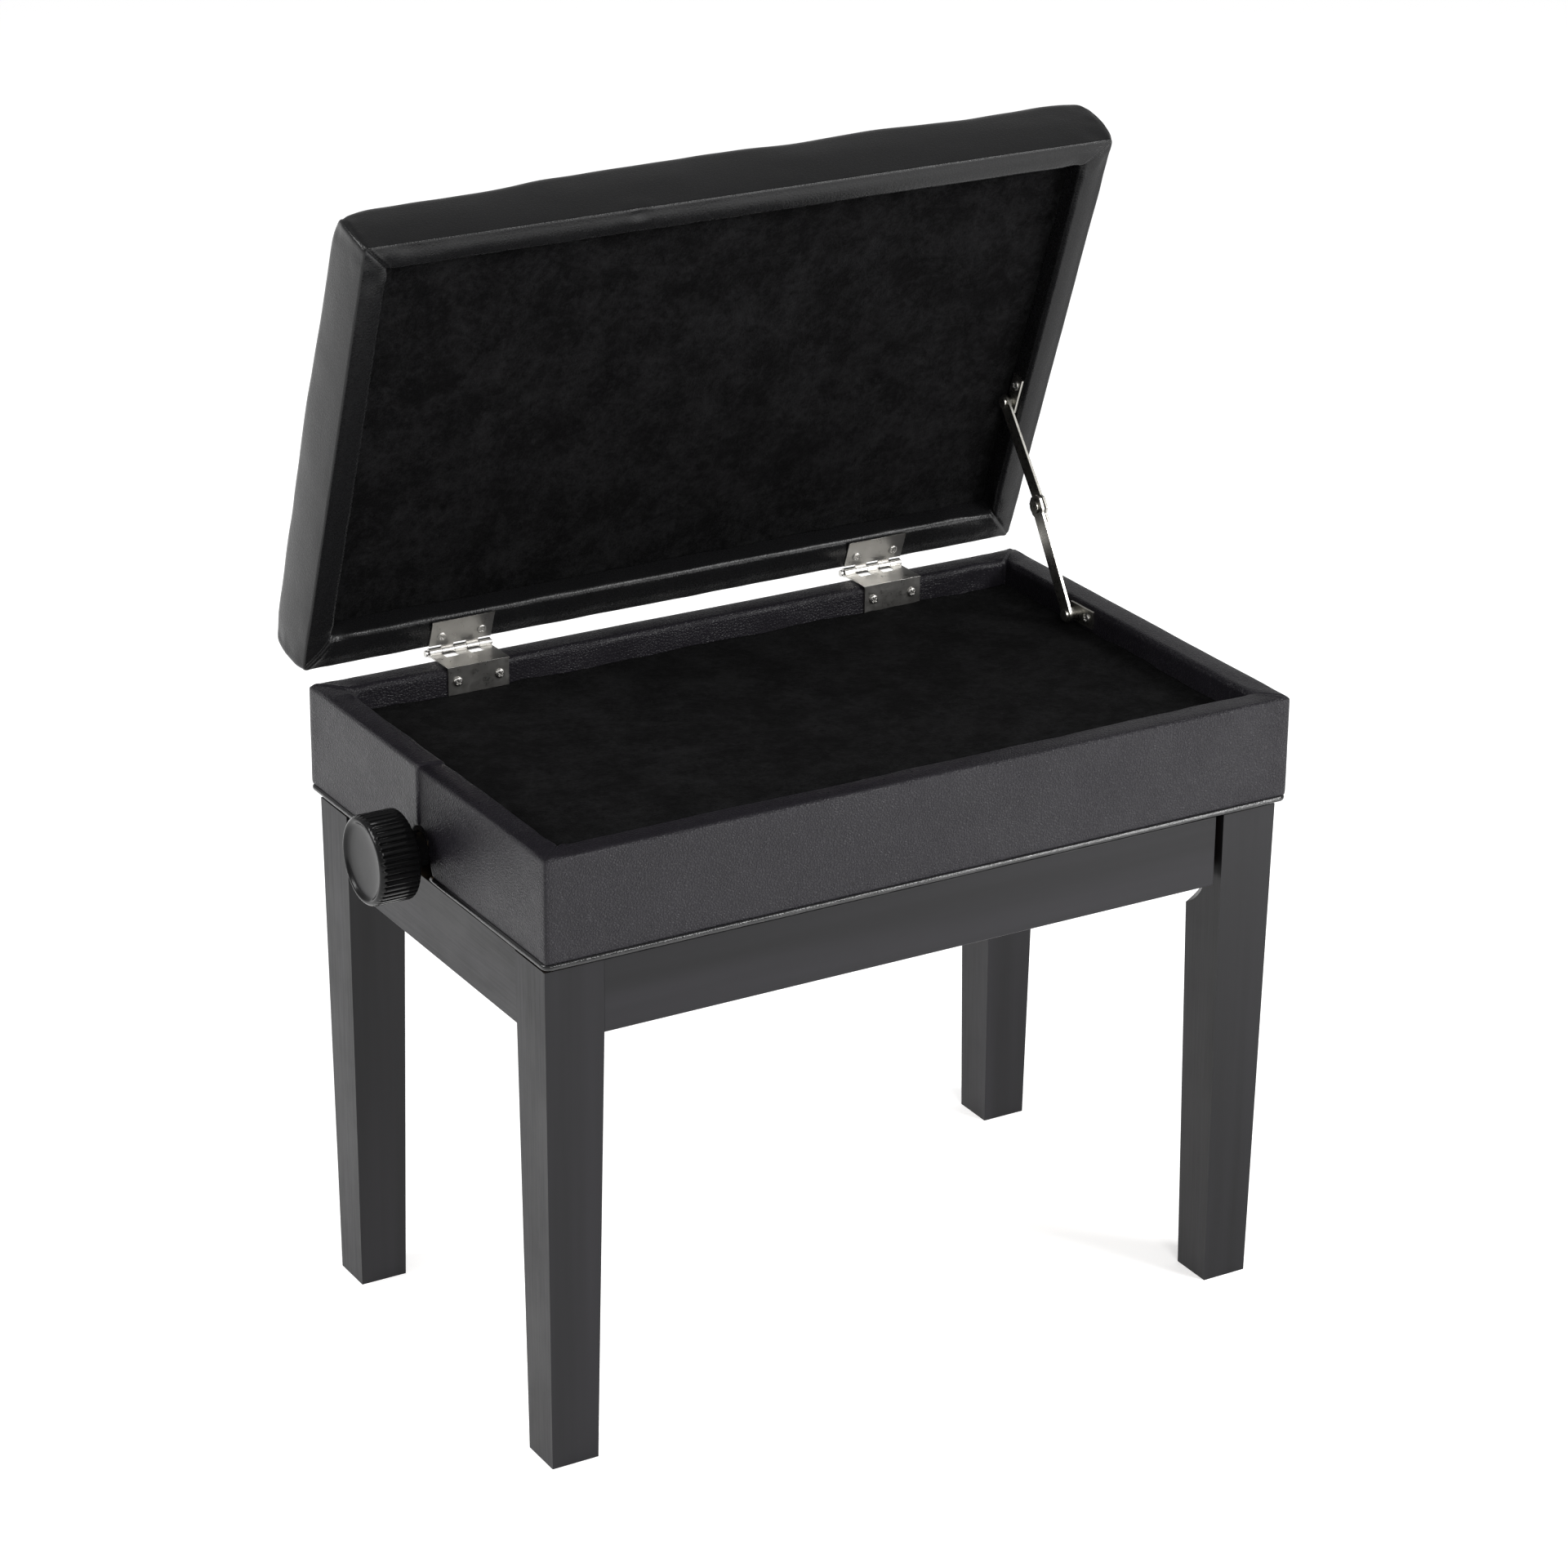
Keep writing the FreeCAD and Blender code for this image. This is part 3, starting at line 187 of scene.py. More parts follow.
def leather(name, dark, light, r0, r1, grain=0.55, cell=500, level=0.24, painted_shade_seam_y=None):
    """Black leatherette: pebbles about 1.6 mm across with creases between them, painted darker there as shade, flatter
    where it is pulled tight.
    """
    t = Tree(name)
    warp = t.node("ShaderNodeTexNoise")
    warp.inputs["Scale"].default_value = 240
    t.link(t.co, warp.inputs["Vector"])
    wv = t.node("ShaderNodeVectorMath", operation="MULTIPLY_ADD")
    t.link(warp.outputs["Color"], wv.inputs[0])
    wv.inputs[1].default_value = (0.0016, 0.0016, 0.0016)
    t.link(t.co, wv.inputs[2])
    crease = t.rng(t.voronoi(cell, "DISTANCE_TO_EDGE", wv.outputs[0]), 0.0, 0.30, 0.0, 1.0)
    small = t.rng(t.voronoi(cell * 2.3, "DISTANCE_TO_EDGE", wv.outputs[0]), 0.0, 0.35, 0.0, 1.0)
    wide = t.noise(22, 3, 0.55)
    h = t.math("ADD", crease, t.math("MULTIPLY", small, 0.35))
    h = t.math("MULTIPLY", h, t.rng(wide, 0.38, 0.62, 0.55, 1.0))
    n = t.bump(h, grain, 0.00045)
    n = t.bump(t.noise(75, 3, 0.45), 0.07, 0.0015, n)
    t.set(Specular_IOR_Level=level)
    # tone varies at random, and is lowered in the grain's creases as painted shade
    tone = t.math("ADD", t.math("MULTIPLY", t.noise(45, 4, 0.6), 0.6), t.math("MULTIPLY", crease, 0.4))
    if painted_shade_seam_y:
        # painted shade: towards the seam the front half gets a darker base colour and a lower specular level, standing
        # in for the shade that falls beside the seam
        sep = t.node("ShaderNodeSeparateXYZ")
        t.link(t.co, sep.inputs[0])
        near = t.math("MULTIPLY", t.math("MULTIPLY", t.rng(sep.outputs[1], painted_shade_seam_y - 0.085, painted_shade_seam_y - 0.002, 0.0, 1.0), t.rng(sep.outputs[1], painted_shade_seam_y - 0.0006, painted_shade_seam_y + 0.0006, 1.0, 0.0)),
                      t.rng(sep.outputs[0], -0.2690, -0.2660, 1.0, 0.0))
        t.link(t.rng(near, 0.0, 1.0, level, level * 0.15), t.b.inputs["Specular IOR Level"])
        tone = t.math("MULTIPLY", tone, t.rng(near, 0.0, 1.0, 1.0, 0.45))
    return t.done(t.mix(tone, dark, light), t.rng(t.noise(300, 4, 0.6), 0.3, 0.7, r0, r1), n)


def plush_mat(name):
    """Short black pile: matt, brushed this way and that in patches, with a grey bloom on the pile tips."""
    t = Tree(name)
    patch = t.noise(30, 6, 0.72)
    fibre = t.noise(820, 5, 0.8)
    mid = t.noise(190, 5, 0.75)
    f = t.math("ADD", t.math("MULTIPLY", patch, 0.36), t.math("ADD", t.math("MULTIPLY", fibre, 0.34), t.math("MULTIPLY", mid, 0.30)))
    col = t.mix(t.rng(f, 0.46, 0.585, 0.0, 1.0), (0.0002, 0.0002, 0.0003), (0.0075, 0.0075, 0.0079))
    n = t.bump(t.math("ADD", fibre, t.math("MULTIPLY", mid, 1.2)), 0.7, 0.0016)
    t.set(Specular_IOR_Level=0.03, Sheen_Weight=0.012, Sheen_Roughness=0.6)
    return t.done(col, t.rng(mid, 0.3, 0.7, 0.9, 1.0), n)


def lacquer(name, along):
    """Satin black lacquer on wood: faint filled grain along the piece and faint rubbed streaks."""
    t = Tree(name)
    s = {"z": (1, 1, 0.035), "x": (0.035, 1, 1), "y": (1, 0.035, 1)}[along]
    v = t.scaled(s)
    grain = t.noise(520, 4, 0.6, v)
    broad = t.noise(42, 3, 0.5, v)
    rub = t.noise(16, 4, 0.6)
    n = t.bump(t.math("ADD", grain, t.math("MULTIPLY", broad, 0.8)), 0.10, 0.0004)
    n = t.bump(t.noise(1400, 2, 0.5), 0.05, 0.0002, n)
    rough = t.math("ADD", t.rng(rub, 0.3, 0.7, 0.30, 0.42), t.rng(grain, 0.3, 0.7, -0.04, 0.07))
    t.set(Specular_IOR_Level=0.22)
    return t.done(t.mix(t.rng(broad, 0.3, 0.7, 0.0, 1.0), (0.0025, 0.0024, 0.0030), (0.0100, 0.0094, 0.0116)), rough, n)


def bare_wood(name, along):
    t = Tree(name)
    v = t.scaled({"z": (1, 1, 0.06), "x": (0.06, 1, 1), "y": (1, 0.06, 1)}[along])
    g = t.noise(160, 5, 0.65, v)
    f = t.noise(900, 3, 0.6, v)
    col = t.mix(t.rng(t.math("ADD", t.math("MULTIPLY", g, 0.7), t.math("MULTIPLY", f, 0.3)), 0.35, 0.65, 0, 1), (0.27, 0.165, 0.085), (0.50, 0.36, 0.22))
    return t.done(col, t.rng(g, 0.3, 0.7, 0.62, 0.8), t.bump(f, 0.25, 0.0004))


def metal(name, a, b, r0, r1, scale=(1, 1, 1), metallic=1.0, bump=0.08):
    t = Tree(name)
    v = t.scaled(scale)
    t.set(Metallic=metallic)
    g = t.noise(700, 4, 0.65, v)
    w = t.noise(120, 4, 0.6)
    return t.done(t.mix(w, a, b), t.rng(t.math("ADD", t.math("MULTIPLY", g, 0.5), t.math("MULTIPLY", w, 0.5)), 0.35, 0.65, r0, r1), t.bump(g, bump, 0.0002))


def plastic(name, a, b, r0, r1, bump=0.05, coat=0.0):
    t = Tree(name)
    w = t.noise(70, 4, 0.6)
    g = t.noise(1800, 3, 0.6)
    if a[0] < 0.05:
        t.set(Specular_IOR_Level=0.17)
    if coat:
        t.set(Coat_Weight=coat, Coat_Roughness=0.08)
    return t.done(t.mix(w, a, b), t.rng(w, 0.35, 0.65, r0, r1), t.bump(g, bump, 0.0002))


M_SEAT = leather("seat_leatherette", (0.0042, 0.0042, 0.0045), (0.0072, 0.0072, 0.0076), 0.24, 0.31, 0.16, level=0.21)
# the box leatherette carries painted shade on the front half beside the seam above the screw (seam at y = 0.005)
M_BOX = leather("box_leatherette", (0.0060, 0.0055, 0.0070), (0.0165, 0.0150, 0.0188), 0.26, 0.36, 0.62, level=0.18, painted_shade_seam_y=0.005)
M_WELT = leather("welt_leatherette", (0.0045, 0.0045, 0.0048), (0.0090, 0.0090, 0.0096), 0.12, 0.20, 0.15, level=0.45)
M_PLUSH = plush_mat("black_pile")
M_LEG = lacquer("lacquer_legs", "z")
M_RAILX = lacquer("lacquer_rails_long", "x")
M_RAILY = lacquer("lacquer_rails_short", "y")
M_PLY = bare_wood("bare_wood", "x")
M_STEEL = metal("nickel_plate", (0.40, 0.39, 0.37), (0.52, 0.51, 0.49), 0.26, 0.36, bump=0.012)
M_STAY = metal("stay_nickel", (0.33, 0.32, 0.29), (0.44, 0.43, 0.40), 0.24, 0.36, bump=0.012)
M_ZINC = metal("zinc_plate", (0.55, 0.56, 0.57), (0.68, 0.69, 0.71), 0.28, 0.42)
M_MECH = metal("black_enamel", (0.016, 0.016, 0.017), (0.030, 0.030, 0.032), 0.30, 0.44, metallic=0.0, bump=0.12)
M_NYLON = plastic("nylon", (0.60, 0.58, 0.52), (0.68, 0.66, 0.60), 0.45, 0.55)
M_KNOB = plastic("knob_plastic", (0.0030, 0.0030, 0.0032), (0.0055, 0.0055, 0.0058), 0.12, 0.20, 0.03)
M_KNOBFACE = plastic("knob_face", (0.0050, 0.0050, 0.0053), (0.0085, 0.0085, 0.0090), 0.16, 0.26, 0.04)


# ------------------------------------------------------------------ mesh helpers
def make(name, verts, faces, mats, smooth=True):
    me = bpy.data.meshes.new(name)
    me.from_pydata([tuple(map(float, v)) for v in verts], [], faces)
    me.validate()
    me.update()
    ob = bpy.data.objects.new(name, me)
    scene.collection.objects.link(ob)
    for x in mats if isinstance(mats, (list, tuple)) else [mats]:
        me.materials.append(x)
    if smooth:
        me.polygons.foreach_set("use_smooth", [True] * len(me.polygons))
    return ob


def apply_mods(ob):
    dg = bpy.context.evaluated_depsgraph_get()
    me = bpy.data.meshes.new_from_object(ob.evaluated_get(dg))
    ob.modifiers.clear()
    old = ob.data
    ob.data = me
    me.name = old.name
    return ob


def coords(ob):
    co = np.zeros(len(ob.data.vertices) * 3)
    ob.data.vertices.foreach_get("co", co)
    return co.reshape(-1, 3)


def normals(ob):
    no = np.zeros(len(ob.data.vertices) * 3, np.float32)
    ob.data.vertex_normals.foreach_get("vector", no)
    return no.reshape(-1, 3).astype(float)


def set_coords(ob, co):
    ob.data.vertices.foreach_set("co", np.asarray(co, np.float32).ravel())
    ob.data.update()


def nz(p, scale, seed=0.0):
    """Smooth noise from -1 to 1 at every point."""
    o = Vector((seed * 7.13, seed * -3.7, seed * 5.1))
    return np.array([noise.noise(Vector(q) * scale + o) for q in p])


def soften(node, body, mats, width=0.0009, seg=3, angle=32, tag="_finished"):
    """Copies a CAD node into a piece with its edges eased, as sanding or tumbling leaves them."""
    src = frame["nodes"][node]
    me = src.data.copy()
    ob = bpy.data.objects.new(node + tag, me)
    scene.collection.objects.link(ob)
    bm = bmesh.new()
    bm.from_mesh(me)
    bmesh.ops.remove_doubles(bm, verts=bm.verts, dist=2e-6)
    bmesh.ops.dissolve_limit(bm, angle_limit=math.radians(1.0), verts=bm.verts, edges=bm.edges)
    bmesh.ops.recalc_face_normals(bm, faces=bm.faces)
    bm.to_mesh(me)
    bm.free()
    me.materials.clear()
    me.materials.append(mats)
    b = ob.modifiers.new("ease", "BEVEL")
    b.width, b.segments, b.limit_method, b.angle_limit = width, seg, "ANGLE", math.radians(angle)
    b.use_clamp_overlap = True
    b.harden_normals = False
    apply_mods(ob)
    me = ob.data
    me.polygons.foreach_set("use_smooth", [True] * len(me.polygons))
    w = ob.modifiers.new("wn", "WEIGHTED_NORMAL")
    w.keep_sharp = False
    w.weight = 90
    apply_mods(ob)
    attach(ob, body)
    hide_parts(node)
    return ob


def side_stations(length, fine=0.0014, grow=1.22, coarse=0.0062, extra=()):
    """Positions along one side, close together near the corners."""
    a, s, out = 0.0, fine, [0.0]
    while a + s < length / 2:
        a += s
        out.append(a)
        s = min(coarse, s * grow)
    pts = out + [length - x for x in out]
    pts = [x for x in pts if not any(abs(x - e) < 0.0011 for e in extra)] + list(extra)
    pts = sorted(set(round(x, 6) for x in pts))
    keep = [pts[0]]
    for x in pts[1:]:
        if x - keep[-1] > 0.0002:
            keep.append(x)
    return [x / length for x in keep]


def ring_surface(x0, x1, y0, y1, rows, sx, sy, sy_left=None):
    """Rows of a profile carried round a rectangle.
    rows: (dL, dR, dF, dB, z, R). Returns points [row, column, 3] and each column's side and fraction."""
    cols = []
    for f in sx[:-1]:
        cols.append(("F", f))
    for f in sy[:-1]:
        cols.append(("R", f))
    for f in sx[:-1]:
        cols.append(("B", 1 - f))
    for f in (sy_left or sy)[:-1]:
        cols.append(("L", 1 - f))
    P = np.zeros((len(rows), len(cols), 3))
    for i, (dL, dR, dF, dB, z, R) in enumerate(rows):
        a0, a1, b0, b1 = x0 + dL, x1 - dR, y0 + dF, y1 - dB
        for k, (s, f) in enumerate(cols):
            if s == "F":
                p = [a0 + (a1 - a0) * f, b0]
            elif s == "B":
                p = [a0 + (a1 - a0) * f, b1]
            elif s == "R":
                p = [a1, b0 + (b1 - b0) * f]
            else:
                p = [a0, b0 + (b1 - b0) * f]
            if R > 0:
                cx = a0 + R if p[0] < a0 + R else (a1 - R if p[0] > a1 - R else None)
                cy = b0 + R if p[1] < b0 + R else (b1 - R if p[1] > b1 - R else None)
                if cx is not None and cy is not None:
                    v = np.array([p[0] - cx, p[1] - cy])
                    n = np.hypot(*v)
                    if n > 1e-9:
                        p = [cx + v[0] / n * R, cy + v[1] / n * R]
            P[i, k] = (p[0], p[1], z)
    return P, cols


def ring_faces(nr, nc, base=0, flip=False):
    out = []
    for i in range(nr - 1):
        for k in range(nc):
            k2 = (k + 1) % nc
            q = (base + i * nc + k, base + i * nc + k2, base + (i + 1) * nc + k2, base + (i + 1) * nc + k)
            out.append(q[::-1] if flip else q)
    return out


def arc(cx, cy, r, a0, a1, n):
    return [(cx + r * math.cos(math.radians(a0 + (a1 - a0) * i / n)), cy + r * math.sin(math.radians(a0 + (a1 - a0) * i / n))) for i in range(n + 1)]


def bell(x, w):
    return np.exp(-(x / w) ** 2)


# ------------------------------------------------------------------ the open lid's turn
AXY, AXZ = J["lid_hinge"]["pos_m"][1], J["lid_hinge"]["pos_m"][2]
TH = -math.radians(J["lid_hinge"]["range_deg"][1])


def opened(p):
    p = np.array(p, float)
    y, z = p[..., 1] - AXY, p[..., 2] - AXZ
    q = p.copy()
    q[..., 1] = AXY + y * math.cos(TH) - z * math.sin(TH)
    q[..., 2] = AXZ + y * math.sin(TH) + z * math.cos(TH)
    return q


# ------------------------------------------------------------------ seat cushion with its wrapped rim
LX, LY0, LY1, LZ = 0.2755, AXY - 0.338, AXY - 0.0036, AXZ + 0.0015
RIM, RIMB = 0.0195, 0.024


def crest_height(side, f):
    """Height of the crest along each side, from the lid's underside, and how far the corner is pulled down."""
    if side == "F":
        xs = [0.0, 0.04, 0.12, 0.20, 0.27, 0.36, 0.46, 0.52, 0.58, 0.66, 0.71, 0.78, 0.83, 0.90, 0.94, 1.0]
        zs = [40.5, 42.2, 43.4, 44.2, 47.4, 48.6, 49.4, 48.6, 47.6, 49.2, 49.6, 47.6, 46.8, 47.8, 48.6, 48.2]
    elif side == "B":
        xs = [0, 0.05, 0.2, 0.4, 0.6, 0.8, 0.95, 1.0]
        zs = [43, 45, 47.5, 49, 50, 49.5, 46.5, 43]
    else:
        xs = [0, 0.06, 0.25, 0.5, 0.75, 0.94, 1.0]
        zs = [42, 44.5, 45.8, 47.0, 46.5, 45, 43]
    x = np.clip(f, 0, 1)
    i = min(max(int(np.searchsorted(xs, x)) - 1, 0), len(xs) - 2)
    t = (x - xs[i]) / (xs[i + 1] - xs[i])
    z0, z1 = zs[i], zs[i + 1]
    up_ = z0 + (z1 - z0) * (3 * t**2 - 2 * t**3)
    span = 2 * LX if side in "FB" else LY1 - LY0
    e0, e1 = f * span * 1000, (1 - f) * span * 1000
    depth = {"F": (3.0, 2.0), "B": (2, 2), "L": (3.0, 2), "R": (2.0, 2)}[side]
    up_ += 2.3
    return up_ / 1000, (depth[0] * math.exp(-(e0 / 13.0) ** 1.6) + depth[1] * math.exp(-(e1 / 13.0) ** 1.6)) / 1000


def cushion():
    sx = side_stations(2 * LX)
    sy = side_stations(LY1 - LY0)
    rows = []
    # recess wall, rounded inner edge, pillowed underside, tight outer edge, band
    r_in = 0.0042
    for z in (0.0205, 0.0190, 0.0175, 0.0150, 0.0115, 0.0080):
        rows.append((RIM, z, 0.0005))
    for d, z in arc(RIM - r_in, r_in, r_in, 0, -90, 6):
        rows.append((d, z, 0.0006))
    for d, z in ((0.0125, -0.00045), (0.0095, -0.0006), (0.0065, -0.00045), (0.0042, -0.0001)):
        rows.append((d, z, 0.0012))
    ro = 0.0016
    for d, z in arc(ro, ro, ro, -90, -180, 5):
        rows.append((d, z, 0.0022))
    n_under = len(rows)
    for k in range(1, 9):
        rows.append((None, k / 8.0, None))  # band, filled in per column
    n_band = len(rows)
    for k in range(1, 9):
        rows.append(("c", k / 8.0, None))  # crest arc
    n_crest = len(rows)
    INS = 0.034
    for k in range(1, 5):
        rows.append(("t", k / 4.0, None))
    base_rows = []
    for r in rows:
        if r[0] is None or isinstance(r[0], str):
            base_rows.append((0, 0, 0, 0, 0, 0))
        else:
            k = RIMB / RIM if r[0] > 0.004 else 1.0
            base_rows.append((r[0], r[0], r[0], r[0] * k, r[1], r[2]))
    P, cols = ring_surface(-LX, LX, LY0, LY1, base_rows, sx, sy)
    nc = len(cols)
    TT = np.array([crest_height(s, f) for s, f in cols])
    T0, T = TT[:, 0], TT[:, 0] - TT[:, 1]
    for _ in range(2):  # evened round the corners
        T = (np.roll(T, 1) + 2 * T + np.roll(T, -1)) / 4
        T0 = (np.roll(T0, 1) + 2 * T0 + np.roll(T0, -1)) / 4
    full = {"F": 0.0022, "R": 0.0030, "B": 0.0024, "L": 0.0036}
    # band and crest
    Rc = 0.0105
    cx0, cx1, cy0, cy1 = -LX, LX, LY0, LY1

    def place(i, k, d, z, R):
        s, f = cols[k]
        a0, a1, b0, b1 = cx0 + d, cx1 - d, cy0 + d, cy1 - d
        if s == "F":
            p = [a0 + (a1 - a0) * f, b0]
        elif s == "B":
            p = [a0 + (a1 - a0) * f, b1]
        elif s == "R":
            p = [a1, b0 + (b1 - b0) * f]
        else:
            p = [a0, b0 + (b1 - b0) * f]
        ex = a0 + R if p[0] < a0 + R else (a1 - R if p[0] > a1 - R else None)
        ey = b0 + R if p[1] < b0 + R else (b1 - R if p[1] > b1 - R else None)
        if ex is not None and ey is not None and R > 0:
            v = np.array([p[0] - ex, p[1] - ey])
            n = np.hypot(*v)
            if n > 1e-9:
                p = [ex + v[0] / n * R, ey + v[1] / n * R]
        P[i, k] = (p[0], p[1], z)

    for k in range(nc):
        t, t0 = T[k], T0[k]
        side, f = cols[k]
        zc = t - Rc
        amp = full[side]
        if side == "L":
            amp = 0.0024 + 0.0004 * f
        for i in range(n_under, n_band):
            u = rows[i][1]
            z = 0.0016 + (zc - 0.0016) * u
            bulge = amp * math.sin(math.pi * min(1.0, 0.62 * u)) ** 0.8
            place(i, k, -bulge, z, 0.0018 + 0.0022 * u)
        b1 = amp * math.sin(math.pi * 0.62) ** 0.8
        for i in range(n_band, n_crest):
            u = rows[i][1]
            a = math.radians(90 * u * 0.86)
            d = Rc - Rc * math.cos(a) - b1
            z = zc + Rc * math.sin(a)
            place(i, k, d, z, 0.0040 + 0.0040 * u)
        a = math.radians(90 * 0.86)
        dl, zl = Rc - Rc * math.cos(a) - b1, zc + Rc * math.sin(a)
        for i in range(n_crest, len(rows)):
            u = rows[i][1]
            d = dl + (INS - dl) * u
            e = u * u * (3 - 2 * u)
            z = zl + (t0 - t) * e + (0.0042 * u) * (1 - 0.15 * u)
            place(i, k, d, z, 0.0080 + 0.0060 * u)
    nr = len(rows)
    V = P.reshape(-1, 3)
    faces = ring_faces(nr, nc)
    # crown: a grid inside the last ring, blended to the crown's height
    nx, ny = len(sx) - 1, len(sy) - 1
    last = (nr - 1) * nc
    F = [last + k for k in range(nx)] + [last + nx]
    Rr = [last + nx + k for k in range(ny)] + [last + nx + ny]
    Bk = [last + nx + ny + k for k in range(nx)] + [last + 2 * nx + ny]
    Lf = [last + 2 * nx + ny + k for k in range(ny)] + [last]
    bottom, top = F, Bk[::-1]
    left, rgt = Lf[::-1], Rr
    grid = {}
    V = list(map(list, V))
    for i in range(nx + 1):
        for j in range(ny + 1):
            if j == 0:
                grid[i, j] = bottom[i]
            elif j == ny:
                grid[i, j] = top[i]
            elif i == 0:
                grid[i, j] = left[j]
            elif i == nx:
                grid[i, j] = rgt[j]
    for i in range(1, nx):
        for j in range(1, ny):
            u, v = sx[i], sy[j]
            g = lambda ii, jj: np.array(V[grid[ii, jj]])
            c = ((1 - v) * g(i, 0) + v * g(i, ny) + (1 - u) * g(0, j) + u * g(nx, j)
                 - ((1 - u) * (1 - v) * g(0, 0) + u * (1 - v) * g(nx, 0) + (1 - u) * v * g(0, ny) + u * v * g(nx, ny)))
            lift = (1 - abs(2 * u - 1) ** 2.6) * (1 - abs(2 * v - 1) ** 2.2)
            base_z = c[2]
            c[2] = base_z + (LZ * 0 + 0.0600 - base_z) * min(1, lift)
            grid[i, j] = len(V)
            V.append([c[0], c[1], c[2]])
    for i in range(nx):
        for j in range(ny):
            faces.append((grid[i, j], grid[i + 1, j], grid[i + 1, j + 1], grid[i, j + 1]))
    V = np.array(V)
    V[:, 2] += LZ
    ob = make("seat_cushion", V, faces, M_SEAT)
    return ob, cols, nr, nc, n_under, n_band, n_crest


def corner_points():
    return [(-LX, LY0), (LX, LY0), (LX, LY1), (-LX, LY1)]


cush, CC, CNR, CNC, NU, NB, NC_ = cushion()


def simulate(ob):
    """Lets the cover stretch over its foam: the rim is tacked down, the rest swells a little and finds its own tension."""
    co = coords(ob)
    pin = ob.vertex_groups.new(name="tacked")
    z = co[:, 2] - LZ
    for i, zz in enumerate(z):
        w = 1.0 if zz < 0.006 else max(0.0, 1.0 - (zz - 0.006) / 0.02) * 0.6
        if w > 0:
            pin.add([i], w, "REPLACE")
    c = ob.modifiers.new("cloth", "CLOTH")
    s = c.settings
    s.quality = 5
    s.mass = 0.35
    s.tension_stiffness = 22
    s.compression_stiffness = 22
    s.shear_stiffness = 8
    s.bending_stiffness = 1.2
    s.use_pressure = True
    s.uniform_pressure_force = 2.0
    s.vertex_group_mass = "tacked"
    s.pin_stiffness = 1.0
    s.effector_weights.gravity = 0
    c.collision_settings.use_collision = False
    c.collision_settings.use_self_collision = False
    scene.frame_start, scene.frame_end = 1, 20
    for f in range(1, 21):
        scene.frame_set(f)
    dg = bpy.context.evaluated_depsgraph_get()
    e = ob.evaluated_get(dg).data
    new = np.zeros(len(e.vertices) * 3)
    e.vertices.foreach_get("co", new)
    new = new.reshape(-1, 3)
    ob.modifiers.clear()
    ob.vertex_groups.clear()
    scene.frame_set(1)
    d = new - co
    n = np.linalg.norm(d, axis=1)
    # the foam holds the cover back, so only a small share of the free swelling is kept
    share = min(1.0, 0.0022 / max(n.max(), 1e-9))
    set_coords(ob, co + d * share)
    print("cloth swelled up to %.1f mm, mean %.2f mm, share kept %.3f" % (n.max() * 1000, n.mean() * 1000, share))


def even_out(ob, zmin, rounds):
    """Evens the foam's top, weighted by the distance between neighbours."""
    me = ob.data
    e = np.zeros(len(me.edges) * 2, np.int64)
    me.edges.foreach_get("vertices", e)
    e = e.reshape(-1, 2)
    co = coords(ob)
    inset = np.minimum(LX - np.abs(co[:, 0]), np.minimum(co[:, 1] - LY0, LY1 - co[:, 1]))
    free = ((co[:, 2] - LZ) > zmin) & (inset > 0.019)
    w = 1.0 / np.maximum(np.linalg.norm(co[e[:, 0]] - co[e[:, 1]], axis=1), 1e-5)
    tot = np.bincount(e[:, 0], w, len(co)) + np.bincount(e[:, 1], w, len(co))
    for _ in range(rounds):
        z = co[:, 2]
        avg = (np.bincount(e[:, 0], w * z[e[:, 1]], len(co)) + np.bincount(e[:, 1], w * z[e[:, 0]], len(co))) / tot
        co[free, 2] += 0.6 * (avg - z)[free]
    set_coords(ob, co)


simulate(cush)
even_out(cush, 0.0400, 220)


